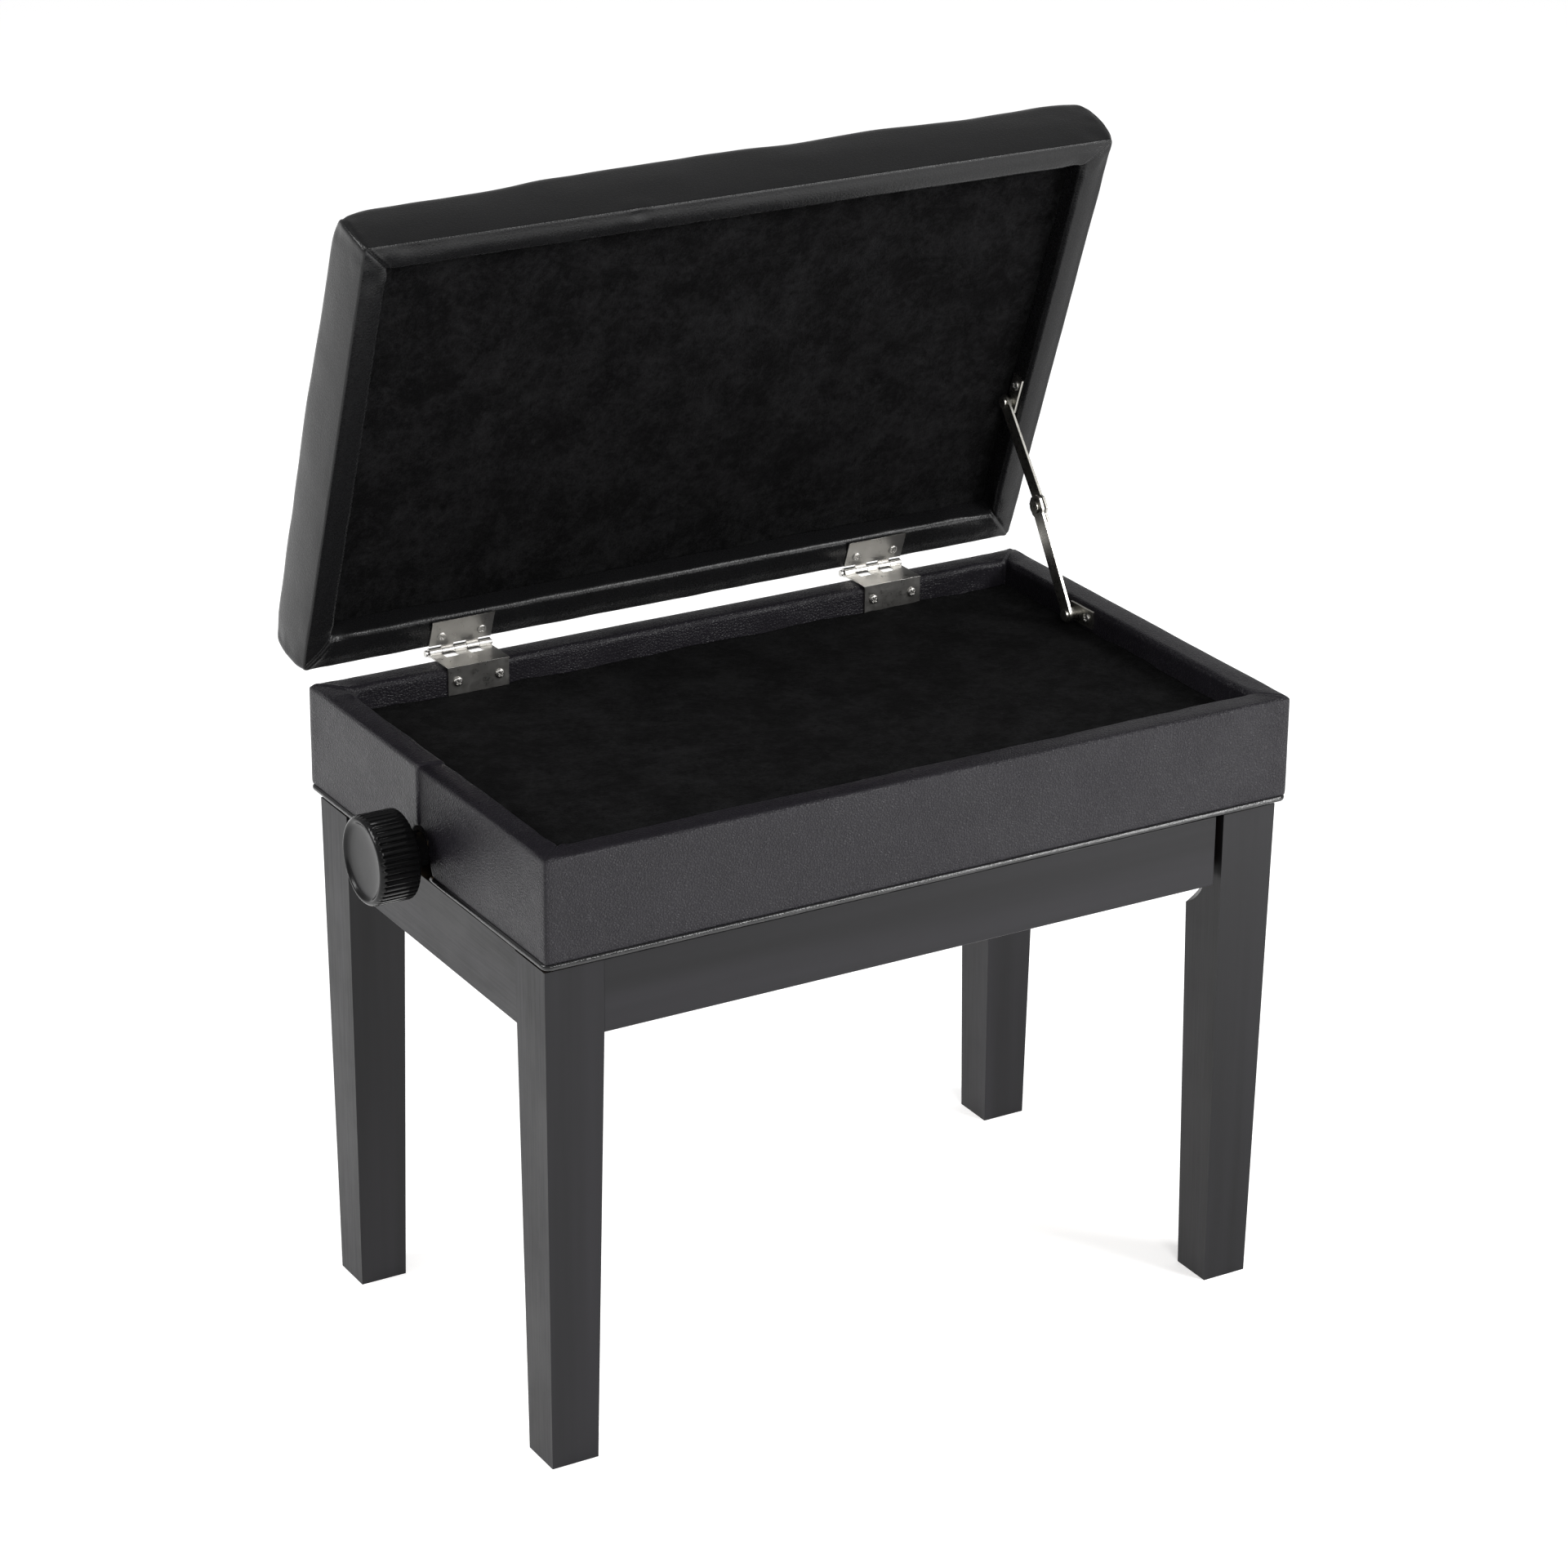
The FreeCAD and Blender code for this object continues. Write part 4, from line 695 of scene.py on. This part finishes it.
def dress_cushion(ob):
    """Sewn corners, pull marks and the soft unevenness of leatherette over foam."""
    co, no = coords(ob), normals(ob)
    z = co[:, 2] - LZ
    disp = np.zeros(len(co))
    top = np.clip((z - 0.006) / 0.02, 0, 1)
    disp += top * 0.00055 * nz(co, 16, 1) + top * 0.0004 * nz(co, 34, 2)
    for cx, cy in corner_points():
        sxn, syn = (1 if cx > 0 else -1), (1 if cy > 0 else -1)
        # distance from the corner's diagonal plane, and from the corner itself
        ax, ay = sxn * (cx - co[:, 0]), (LY1 - co[:, 1] if syn > 0 else co[:, 1] - LY0)
        off = (ax - ay) / math.sqrt(2)
        run = np.hypot(ax, ay)
        near = np.clip(1 - run / 0.060, 0, 1)
        seam = bell(off, 0.0010) * near ** 0.5 * (z > 0.0005)
        disp -= 0.00035 * seam * np.clip((0.034 - z) / 0.010, 0, 1)
        disp += 0.00030 * (bell(off - 0.0030, 0.0022) + bell(off + 0.0030, 0.0022)) * near * (z > 0.004) * (z < 0.030)
        # puckers that run across the seam
        pk = np.sin(z * 780 + 3 * nz(co, 60, 3) + sxn) * bell(np.abs(off) - 0.006, 0.006) * near * (z > 0.006)
        disp += 0.00028 * pk * (z < 0.032)
        under = (z < 0.004) & (ax < RIM + 0.002) & (ay < RIMB + 0.002)
        # folded mitre on the wrapped underside
        k = RIMB / RIM if syn > 0 else 1.0
        offu = (ax * k - ay) / math.sqrt(1 + k * k)
        disp -= 0.0010 * bell(offu, 0.0008) * under
        disp += 0.0006 * bell(offu - 0.0020, 0.0012) * under
    # wrinkles where the leatherette is gathered at the inner corners
    fold = np.zeros(len(co))
    for cx, cy in ((-LX + RIM, LY0 + RIM), (LX - RIM, LY0 + RIM), (LX - RIM, LY1 - RIMB), (-LX + RIM, LY1 - RIMB)):
        r = np.hypot(co[:, 0] - cx, co[:, 1] - cy)
        fold += bell(r, 0.022)
    low = z < 0.012
    disp += low * fold * (0.0012 * nz(co, 80, 5) + 0.0007 * nz(co, 170, 6))
    # the hinge side is upholstered softer: a rounder inner edge that waves
    q = np.hypot(co[:, 1] - (LY1 - RIMB), z)
    soft = bell(q, 0.0075) * (co[:, 1] > LY1 - RIMB - 0.004) * (z < 0.014) * np.clip((LX - 0.016 - np.abs(co[:, 0])) / 0.012, 0, 1)
    hx_ = np.maximum(bell(co[:, 0] - 0.161, 0.030), bell(co[:, 0] + 0.161, 0.030))
    disp -= soft * (0.0013 - 0.0006 * nz(co, 26, 41) * (1 - hx_) - 0.0004 * nz(co, 70, 42) * (1 - hx_))
    # the rim's underside is gently uneven, and pulled at one tack on the front edge
    disp += (z < 0.004) * (0.00035 * nz(co, 40, 7) + 0.00015 * nz(co, 110, 8))
    tx, ty = -0.083, LY0 + 0.004
    r = np.hypot((co[:, 0] - tx) / 1.0, (co[:, 1] - ty) / 0.8)
    disp -= (z < 0.008) * 0.0011 * bell(r, 0.0042)
    disp += (z < 0.008) * 0.0005 * bell(r - 0.008, 0.003)
    # the recess wall waves where only the panel's edge holds it
    wall = (z > 0.004) & (z < 0.0160) & (np.abs(co[:, 0]) < LX - RIM + 0.002) & (co[:, 1] > LY0 + RIM - 0.002) & (co[:, 1] < LY1 - RIMB + 0.002)
    disp += wall * (0.0005 * nz(co, 30, 9))
    core = (z < 0.018) & ~((co[:, 1] > LY1 - RIMB - 0.006) & (z < 0.016) & (np.abs(co[:, 0]) < LX - 0.010))
    disp = np.where(core, np.maximum(disp, -0.0008), disp)
    co = co + no * disp[:, None]
    set_coords(ob, co)


dress_cushion(cush)
set_coords(cush, opened(coords(cush)))
sub = cush.modifiers.new("sub", "SUBSURF")
sub.levels = sub.render_levels = 1
apply_mods(cush)
sol = cush.modifiers.new("skin", "SOLIDIFY")
sol.thickness, sol.offset, sol.use_even_offset = 0.0009, -1.0, False
apply_mods(cush)
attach(cush, "lid")
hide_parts("seat_foam", "seat_cover")

# ------------------------------------------------------------------ leatherette over the seat box
BX, BY, BT, BB = 0.275, 0.166, 0.4267, 0.3562
NY, NR = 0.004, 0.0146
NZ = 0.3705


def box_leather():
    sx = side_stations(2 * BX)
    sy = side_stations(2 * BY)
    L = 2 * BY
    ext = [BY + NY - NR - 0.0001, BY + NY - NR + 0.0001, BY + NY + NR - 0.0001, BY + NY + NR + 0.0001]
    ext += [BY + NY + NR * math.sin(math.radians(a)) for a in (-76, -60, -45, -30, -15, 0, 15, 30, 45, 60, 76)]
    seam_y = 0.0050
    ext += [BY + seam_y + d for d in (-0.0042, -0.0028, -0.0016, -0.0008, 0.0, 0.0008, 0.0016)]
    ext = sorted(set(round(e, 5) for e in ext))
    keep = [ext[0]]
    for e in ext[1:]:
        if e - keep[-1] > 0.00015:
            keep.append(e)
    syl = side_stations(L, extra=tuple(keep))
    prof = [(0.0095, BB + 0.0005), (0.0050, BB + 0.0004), (0.0022, BB + 0.0004), (0.0009, BB + 0.0008), (0.0002, BB + 0.0016), (0.0, BB + 0.0030)]
    nb = len(prof)
    for k in range(1, 13):
        prof.append((0.0, BB + 0.0022 + (BT - 0.0027 - BB - 0.0022) * k / 12.0))
    ro = 0.0027
    prof += arc(ro, BT - ro, ro, 180, 90, 6)[1:]
    prof += [(0.0045, BT + 0.00022), (0.0075, BT + 0.00035), (0.0105, BT + 0.00030), (0.0135, BT + 0.0001)]
    ri = 0.0044
    prof += arc(0.0200 - ri, BT - ri, ri, 90, 0, 6)[0:]
    for z in (0.4190, 0.4155, 0.4120, 0.4090, 0.4065, 0.4040):
        prof.append((0.0200, z))
    rows = [(d, d, d, d, z, max(0.0004, 0.0016 - d)) for d, z in prof]
    P, cols = ring_surface(-BX, BX, -BY, BY, rows, sx, sy, syl)
    # arch for the adjusting screw, open at the bottom
    for k, (s, f) in enumerate(cols):
        if s != "L":
            continue
        y = P[nb, k, 1]
        if abs(y - NY) < NR:
            zb = NZ + math.sqrt(max(0.0, NR**2 - (y - NY) ** 2)) + 0.0003
            for i in range(len(prof)):
                d, z = prof[i]
                if i < nb:
                    P[i, k, 2] = zb + max(0.0, z - BB) * 0.6
                    if i == 0:
                        P[i, k, 0] = -BX + 0.0178
                elif z < BT - 0.0026 and d == 0.0:
                    u = (z - (BB + 0.0022)) / (BT - 0.0027 - BB - 0.0022)
                    P[i, k, 2] = zb + 0.0014 + (BT - 0.0027 - zb - 0.0014) * u
    ob = make("box_leatherette", P.reshape(-1, 3), ring_faces(len(prof), len(cols), flip=False), M_BOX)
    co, no = coords(ob), normals(ob)
    x, y, z = co.T
    disp = 0.00022 * nz(co, 18, 11) + 0.00010 * nz(co, 60, 12)
    outer_left = (x < -BX + 0.021)
    # the butt seam above the screw: the front half is pulled in towards it
    fr = np.clip(seam_y - y, 0, None)
    disp -= outer_left * (y <= seam_y + 1e-5) * (z > 0.375) * 0.00075 * np.exp(-fr / 0.0100)
    disp -= outer_left * (z > 0.375) * 0.00025 * bell(y - seam_y, 0.0007)
    disp += outer_left * (z > 0.375) * 0.00055 * np.exp(-np.clip(y - seam_y, 0, None) / 0.006) * (y > seam_y + 1e-5)
    # inner edge and wall: loose between the glue line and the pile
    ax, ay = BX - np.abs(x), BY - np.abs(y)
    d = np.minimum(ax, ay)
    inner = np.clip((d - 0.0125) / 0.006, 0, 1)
    hinge = np.maximum(bell(x - 0.161, 0.030), bell(x + 0.161, 0.030)) * (y > 0.12)
    stay = bell(y - 0.045, 0.030) * (x > 0.2)
    calm = np.clip(1 - hinge - stay, 0, 1)
    disp += inner * calm * (0.00075 * nz(co, 24, 13) + 0.00055 * nz(co, 55, 14) - 0.0001)
    # gathers at the inner corners, and the mitre folds
    fold = bell(np.hypot(ax - 0.020, ay - 0.020), 0.020)
    rim = (z > 0.405) & (d > 0.001)
    rear = (y > 0) * 1.0
    disp += rim * fold * (0.0010 + 0.0004 * rear) * nz(co, 70, 15)
    disp += rim * fold * 0.0007 * nz(co, 160, 16)
    disp -= inner * calm * 0.0010 * bell(np.hypot(x - 0.232, (z - 0.4185) * 1.4), 0.009) * (y > 0.13)
    disp -= inner * calm * 0.0010 * bell(np.hypot(x + 0.236, (z - 0.4170) * 1.4), 0.011) * (y > 0.13)
    off = (ax - ay) / math.sqrt(2)
    mit = rim * (np.maximum(ax, ay) < 0.024)
    disp -= 0.0009 * bell(off, 0.0008) * mit
    disp += 0.0006 * bell(off - 0.0020, 0.0012) * mit
    disp = np.maximum(disp, -0.00085)
    # wood corners stay crisp: a little fullness in the leatherette each side
    disp += (d < 0.0006) * 0.0003 * bell(np.maximum(ax, ay) - 0.006, 0.004)
    set_coords(ob, co + no * disp[:, None])
    co = coords(ob)
    set_coords(ob, co)
    s = ob.modifiers.new("sub", "SUBSURF")
    s.levels = s.render_levels = 1
    apply_mods(ob)
    s = ob.modifiers.new("skin", "SOLIDIFY")
    s.thickness, s.offset = 0.0009, -1.0
    apply_mods(ob)
    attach(ob, "seat_box")
    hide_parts("box_cover")
    return ob


box_skin = box_leather()


# ------------------------------------------------------------------ welt cord
def welt():
    lo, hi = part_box("box_piping")
    r = 0.0022
    px, py, pz, rc = 0.2739, 0.1649, 0.3553, 0.0040
    n0, n1 = NY - NR - 0.0002, NY + NR + 0.0002
    pts = []
    y = n0
    while y > -py + rc:
        pts.append((-px, y))
        y -= 0.004

    def turn(cx, cy, a0):
        return [(cx + rc * math.cos(math.radians(a0 + 90 * k / 8)), cy + rc * math.sin(math.radians(a0 + 90 * k / 8))) for k in range(9)]

    pts += turn(-px + rc, -py + rc, 180)
    pts += [(x, -py) for x in np.arange(-px + rc + 0.004, px - rc - 0.002, 0.004)]
    pts += turn(px - rc, -py + rc, 270)
    pts += [(px, y) for y in np.arange(-py + rc + 0.004, py - rc - 0.002, 0.004)]
    pts += turn(px - rc, py - rc, 0)
    pts += [(x, py) for x in np.arange(px - rc - 0.004, -px + rc + 0.002, -0.004)]
    pts += turn(-px + rc, py - rc, 90)
    pts += [(-px, y) for y in np.arange(py - rc - 0.004, n1 + 0.001, -0.004)] + [(-px, n1)]
    pts = np.array(pts)
    n = len(pts)
    tan = np.gradient(pts, axis=0)
    tan /= np.linalg.norm(tan, axis=1)[:, None]
    nrm = np.stack([tan[:, 1], -tan[:, 0]], 1)
    seg = 14
    V = []
    for i in range(n):
        wob = 0.00016 * noise.noise(Vector((pts[i, 0] * 60, pts[i, 1] * 60, 0.3)))
        for k in range(seg):
            a = 2 * math.pi * k / seg
            rr = r + wob + 0.00010 * noise.noise(Vector((pts[i, 0] * 200, pts[i, 1] * 200, a)))
            V.append((pts[i, 0] + nrm[i, 0] * rr * math.cos(a), pts[i, 1] + nrm[i, 1] * rr * math.cos(a), pz + rr * math.sin(a)))
    F = []
    for i in range(n - 1):
        for k in range(seg):
            k2 = (k + 1) % seg
            F.append((i * seg + k, i * seg + k2, (i + 1) * seg + k2, (i + 1) * seg + k))
    F.append(tuple(range(seg))[::-1])
    F.append(tuple((n - 1) * seg + k for k in range(seg)))
    ob = make("box_welt", V, F, M_WELT)
    bm = bmesh.new()
    bm.from_mesh(ob.data)
    bmesh.ops.recalc_face_normals(bm, faces=bm.faces)
    bm.to_mesh(ob.data)
    bm.free()
    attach(ob, "seat_box")
    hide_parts("box_piping")
    return ob


welt()


# ------------------------------------------------------------------ pile linings
def pile(name, x0, x1, y0, y1, z, sgn, amp, thick, calm, creases, seed):
    nx, ny = 150, 88
    V = []
    for i in range(nx + 1):
        for j in range(ny + 1):
            V.append((x0 + (x1 - x0) * i / nx, y0 + (y1 - y0) * j / ny, z))
    V = np.array(V)
    x, y = V[:, 0], V[:, 1]
    edge = np.minimum(np.minimum(x - x0, x1 - x), np.minimum(y - y0, y1 - y))
    h = amp * (0.75 * nz(V, 15, seed) + 0.5 * nz(V, 33, seed + 1) + 0.33 * nz(V, 80, seed + 2) + 0.2 * nz(V, 170, seed + 3))
    for (ax, ay, bx, by, depth, wid) in creases:
        a, b = np.array((ax, ay)), np.array((bx, by))
        t = np.clip(((V[:, :2] - a) @ (b - a)) / ((b - a) @ (b - a)), 0, 1)
        q = a + t[:, None] * (b - a)
        wv = 0.0016 * nz(V, 60, seed + 4)
        off = np.hypot(x - q[:, 0], y - q[:, 1]) + wv
        fade = np.sin(math.pi * np.clip(t, 0.02, 0.98)) ** 0.5
        h -= depth * bell(off, wid) * fade
        h += 0.45 * depth * bell(np.abs(off) - 2.6 * wid, 1.8 * wid) * fade
    h *= calm(x, y)
    h += np.exp(-edge / 0.0035) * (0.0009 + 0.0014 * nz(V, 38, seed + 5) + 0.0007 * nz(V, 95, seed + 6)) * calm(x, y)
    h = np.clip(h, -0.0016, 0.0026)
    V[:, 2] = z + sgn * h
    F = []
    for i in range(nx):
        for j in range(ny):
            a = i * (ny + 1) + j
            q = (a, a + ny + 1, a + ny + 2, a + 1)
            F.append(q if sgn > 0 else q[::-1])
    return V, F


floor_calm = lambda x, y: np.ones_like(x)
V, F = pile("floor", -0.2548, 0.2548, -0.1458, 0.1458, 0.4080, 1, 0.0011, 0.002, floor_calm,
            [(-0.12, 0.06, -0.05, 0.02, 0.0008, 0.002), (0.05, -0.02, 0.12, 0.05, 0.0007, 0.002)], 21)
floor_pile = make("compartment_pile", V, F, M_PLUSH)
s = floor_pile.modifiers.new("sub", "SUBSURF"); s.levels = s.render_levels = 1
apply_mods(floor_pile)
s = floor_pile.modifiers.new("thick", "SOLIDIFY"); s.thickness, s.offset = 0.0018, -1.0
apply_mods(floor_pile)
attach(floor_pile, "seat_box")
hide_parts("compartment_lining")

PZ = AXZ + 0.0015 + 0.019 - 0.0024
PX, PY0, PY1 = LX - RIM - 0.0002, LY0 + RIM + 0.0002, LY1 - RIMB - 0.0002


def lid_calm(x, y):
    return 1 - 0.85 * np.clip((x - 0.222) / 0.02, 0, 1) * (y < 0.13) * (y > 0.02)


def on_lid(x, s):
    """A point of the panel from its distance s up from the hinge end."""
    return x, AXY - s


cr = []
for (xa, sa, xb, sb, dp, wd) in (
    (-0.166, 0.131, -0.208, 0.075, 0.0013, 0.0016), (-0.12, 0.16, -0.05, 0.12, 0.0006, 0.002),
    (0.02, 0.24, 0.10, 0.20, 0.0007, 0.0024), (0.10, 0.12, 0.18, 0.16, 0.0006, 0.002),
    (-0.20, 0.20, -0.15, 0.26, 0.0006, 0.002), (-0.02, 0.08, 0.06, 0.06, 0.0005, 0.002),
    (0.12, 0.27, 0.20, 0.22, 0.0006, 0.002), (-0.10, 0.28, -0.02, 0.24, 0.0006, 0.0022),
):
    cr.append((*on_lid(xa, sa), *on_lid(xb, sb), dp, wd))
V, F = pile("lid", -PX, PX, PY0, PY1, PZ, -1, 0.0013, 0.002, lid_calm, cr, 31)
lid_pile = make("lid_pile", opened(V), F, M_PLUSH)
s = lid_pile.modifiers.new("sub", "SUBSURF"); s.levels = s.render_levels = 1
apply_mods(lid_pile)
s = lid_pile.modifiers.new("thick", "SOLIDIFY"); s.thickness, s.offset = 0.0014, -1.0
apply_mods(lid_pile)
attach(lid_pile, "lid")
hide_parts("lid_lining")


# ------------------------------------------------------------------ knob
def knob():
    lo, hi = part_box("adjusting_knob")
    x0, R = lo.x, (hi.z - lo.z) / 2
    cy, cz = (lo.y + hi.y) / 2, (lo.z + hi.z) / 2
    n, per = 44, 8
    cols = n * per
    # (distance from the face, radius, how fluted)
    prof = [(0.0036, 0.0, 0), (0.0036, 0.006, 0), (0.00345, 0.012, 0), (0.0032, 0.017, 0), (0.0028, 0.0205, 0), (0.0024, 0.0228, 0),
            (0.0016, R - 0.0052, 0), (0.0006, R - 0.0042, 0), (0.0, R - 0.0032, 0), (0.0004, R - 0.0021, 0), (0.0014, R - 0.0010, 0),
            (0.0026, R - 0.0002, 0.25), (0.0036, R, 0.8), (0.0050, R, 1), (0.0120, R, 1), (0.0200, R, 1), (0.0262, R, 1), (0.0272, R - 0.0004, 0.8),
            (0.0280, R - 0.0014, 0.3), (0.0280, R - 0.0032, 0), (0.0278, R - 0.0042, 0), (0.0100, R - 0.0050, 0), (0.0100, 0.0128, 0), (0.0115, 0.0122, 0),
            (0.0414, 0.0122, 0), (0.0420, 0.0116, 0), (0.0420, 0.0051, 0)]
    V, F, MI = [], [], []
    for d, r, fl in prof:
        for k in range(cols):
            ph = (k % per) / per
            w = max(0.0, math.cos(2 * math.pi * ph)) ** 0.75
            rr = r - fl * 0.0016 * w
            a = 2 * math.pi * k / cols
            V.append((x0 + d, cy + rr * math.cos(a), cz + rr * math.sin(a)))
    for i in range(len(prof) - 1):
        for k in range(cols):
            k2 = (k + 1) % cols
            F.append((i * cols + k, (i + 1) * cols + k, (i + 1) * cols + k2, i * cols + k2))
            MI.append(1 if i < 6 else 0)
    ob = make("knob_moulding", V, F, [M_KNOB, M_KNOBFACE])
    ob.data.polygons.foreach_set("material_index", MI)
    bm = bmesh.new()
    bm.from_mesh(ob.data)
    bmesh.ops.remove_doubles(bm, verts=bm.verts, dist=1e-7)
    bmesh.ops.recalc_face_normals(bm, faces=bm.faces)
    bm.to_mesh(ob.data)
    bm.free()
    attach(ob, "screw")
    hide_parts("adjusting_knob")


knob()

# ------------------------------------------------------------------ legs, rails and hardware with eased edges
for n in ("leg_front_left", "leg_front_right", "leg_rear_left", "leg_rear_right"):
    soften(n, "base", M_LEG, 0.0013, 4)
for n in ("rail_front", "rail_rear"):
    soften(n, "base", M_RAILX, 0.0009, 3)
for n in ("rail_left", "rail_right"):
    soften(n, "base", M_RAILY, 0.0009, 3)
for n in ("box_wall_front", "box_wall_rear", "box_wall_left", "box_wall_right"):
    soften(n, "seat_box", M_PLY, 0.0032, 3)
for n in ("lid_rail_front", "lid_rail_rear", "lid_rail_left", "lid_rail_right"):
    soften(n, "lid", M_PLY, 0.0062 if n == "lid_rail_rear" else 0.0034, 4)
for n, body in (("stay_bracket_lower", "seat_box"), ("stay_bracket_upper", "lid")):
    soften(n, body, M_STAY, 0.00035, 2)
for n, body in (("hinge_leaves_lower", "seat_box"), ("hinge_leaves_upper", "lid")):
    soften(n, body, M_STEEL, 0.00028, 2)
for n, body in (("stay_arm_lower", "stay_lower"), ("stay_arm_upper", "stay_upper")):
    soften(n, body, M_STAY, 0.00035, 2)



def head(c, axis, r, h, spin=0.0, cross=True, segs=72):
    """A domed screw head standing on the plane at c, with a crossed recess."""
    a = Vector(axis).normalized()
    u = a.orthogonal().normalized()
    w = a.cross(u)
    rings = [(1.0, 0.0), (1.0, 0.30), (0.985, 0.40), (0.95, 0.50)] + [(k / 22.0, None) for k in range(20, 0, -1)]
    V, F = [], []
    for rr, hh in rings:
        for k in range(segs):
            t = 2 * math.pi * k / segs + spin
            p, q = rr * math.cos(t), rr * math.sin(t)
            z = hh if hh is not None else 0.5 + 0.5 * math.sqrt(max(0.0, 1 - (rr / 0.98) ** 2)) ** 0.9
            if cross and hh is None:
                e = max(min(0.17 - abs(p), 0.56 - abs(q)), min(0.17 - abs(q), 0.56 - abs(p)))
                z -= 0.62 * min(1.0, max(0.0, (e + 0.03) / 0.07)) * (1.0 - 0.35 * rr)
            o = Vector(c) + (u * p + w * q) * r + a * (z * h)
            V.append(tuple(o))
    n = len(rings)
    for i in range(n - 1):
        for k in range(segs):
            k2 = (k + 1) % segs
            F.append((i * segs + k, i * segs + k2, (i + 1) * segs + k2, (i + 1) * segs + k))
    V.append(tuple(Vector(c) + a * (h * (0.42 if cross else 1.0))))
    for k in range(segs):
        F.append(((n - 1) * segs + k, (n - 1) * segs + (k + 1) % segs, len(V) - 1))
    F.append(tuple(range(segs))[::-1])
    return V, F


def fasteners(node, body, heads, mat, tag="_heads"):
    """The node's own solids, with the solids that carry a visible head swapped for a domed one."""
    src = frame["nodes"][node]
    bm = bmesh.new()
    bm.from_mesh(src.data)
    bmesh.ops.remove_doubles(bm, verts=bm.verts, dist=2e-6)
    drop, seen = [], set()
    for v in bm.verts:
        if v in seen:
            continue
        stack, comp = [v], []
        seen.add(v)
        while stack:
            a = stack.pop()
            comp.append(a)
            for e in a.link_edges:
                b = e.other_vert(a)
                if b not in seen:
                    seen.add(b)
                    stack.append(b)
        mid = sum((q.co for q in comp), Vector()) / len(comp)
        if any((mid - Vector(h[0])).length < 0.006 for h in heads):
            drop += comp
    bmesh.ops.delete(bm, geom=drop, context="VERTS")
    me = bpy.data.meshes.new(node + tag)
    bm.to_mesh(me)
    bm.free()
    V = [tuple(v.co) for v in me.vertices]
    F = [tuple(p.vertices) for p in me.polygons]
    S = [False] * len(F)
    for h in heads:
        v, f = head(*h)
        b = len(V)
        V += v
        F += [tuple(i + b for i in q) for q in f]
        S += [True] * len(f)
    ob = make(node + tag, V, F, mat, smooth=False)
    ob.data.polygons.foreach_set("use_smooth", S)
    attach(ob, body)
    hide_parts(node)
    return ob


def o1(x, y, z):
    return tuple(opened((x, y, z)))


down = Vector((0, math.sin(TH), -math.cos(TH)))
hx = [sx * 0.161 + d for sx in (-1, 1) for d in (-0.0155, 0.0155)]
hu = [sx * 0.161 + d for sx in (-1, 1) for d in (-0.0148, 0.0148)]
bh = [((x, 0.1448, 0.4174), (0, -1, 0), 0.0033, 0.0018, 0.3 + 1.1 * i) for i, x in enumerate(hx)]
bh += [((sx * 0.161, 0.1575, 0.4278), (0, 0, 1), 0.0016, 0.0004, 0.4, False, 24) for sx in (-1, 1)]
bh += [((0.2532, 0.0400, 0.4181), (-1, 0, 0), 0.0035, 0.0016, 0.5)]
lh = [(o1(x, 0.1610, 0.4293), down, 0.0033, 0.00115, 0.9 + 0.8 * i) for i, x in enumerate(hu)]
lh += [(o1(0.2542, 0.0400, 0.4389), (-1, 0, 0), 0.0035, 0.0016, 0.2)]
fasteners("box_screws", "seat_box", bh, M_STEEL)
fasteners("lid_screws", "lid", lh, M_STEEL)

finish = {
    "hinge_pins": M_STEEL, "stay_knee_rivet": M_STAY,
    "corner_blocks": M_PLY, "box_floor": M_PLY, "lid_board": M_PLY,
    "screw_bushes": M_NYLON,
}
for n in ("lift_plate_left", "lift_plate_right", "lower_channel_front", "lower_channel_rear", "upper_channel_front", "upper_channel_rear",
          "scissor_inner_front", "scissor_inner_rear", "scissor_outer_front", "scissor_outer_rear", "screw_saddle"):
    finish[n] = M_MECH
for n, o in frame["nodes"].items():
    if o.hide_render:
        continue
    o.data.materials.clear()
    o.data.materials.append(finish.get(n, M_ZINC))

# ------------------------------------------------------------------ floor
ft = Tree("pale_floor")
ft.set(Specular_IOR_Level=0.1, Emission_Color=(1, 1, 1, 1), Emission_Strength=0.42)
ft.done(ft.mix(ft.noise(3, 2), (0.90, 0.90, 0.90), (0.92, 0.92, 0.92)), ft.rng(ft.noise(40, 2), 0.3, 0.7, 0.7, 0.8))
floor = make("floor", [(-14, -14, 0), (14, -14, 0), (14, 14, 0), (-14, 14, 0)], [(0, 1, 2, 3)], ft.m, smooth=False)
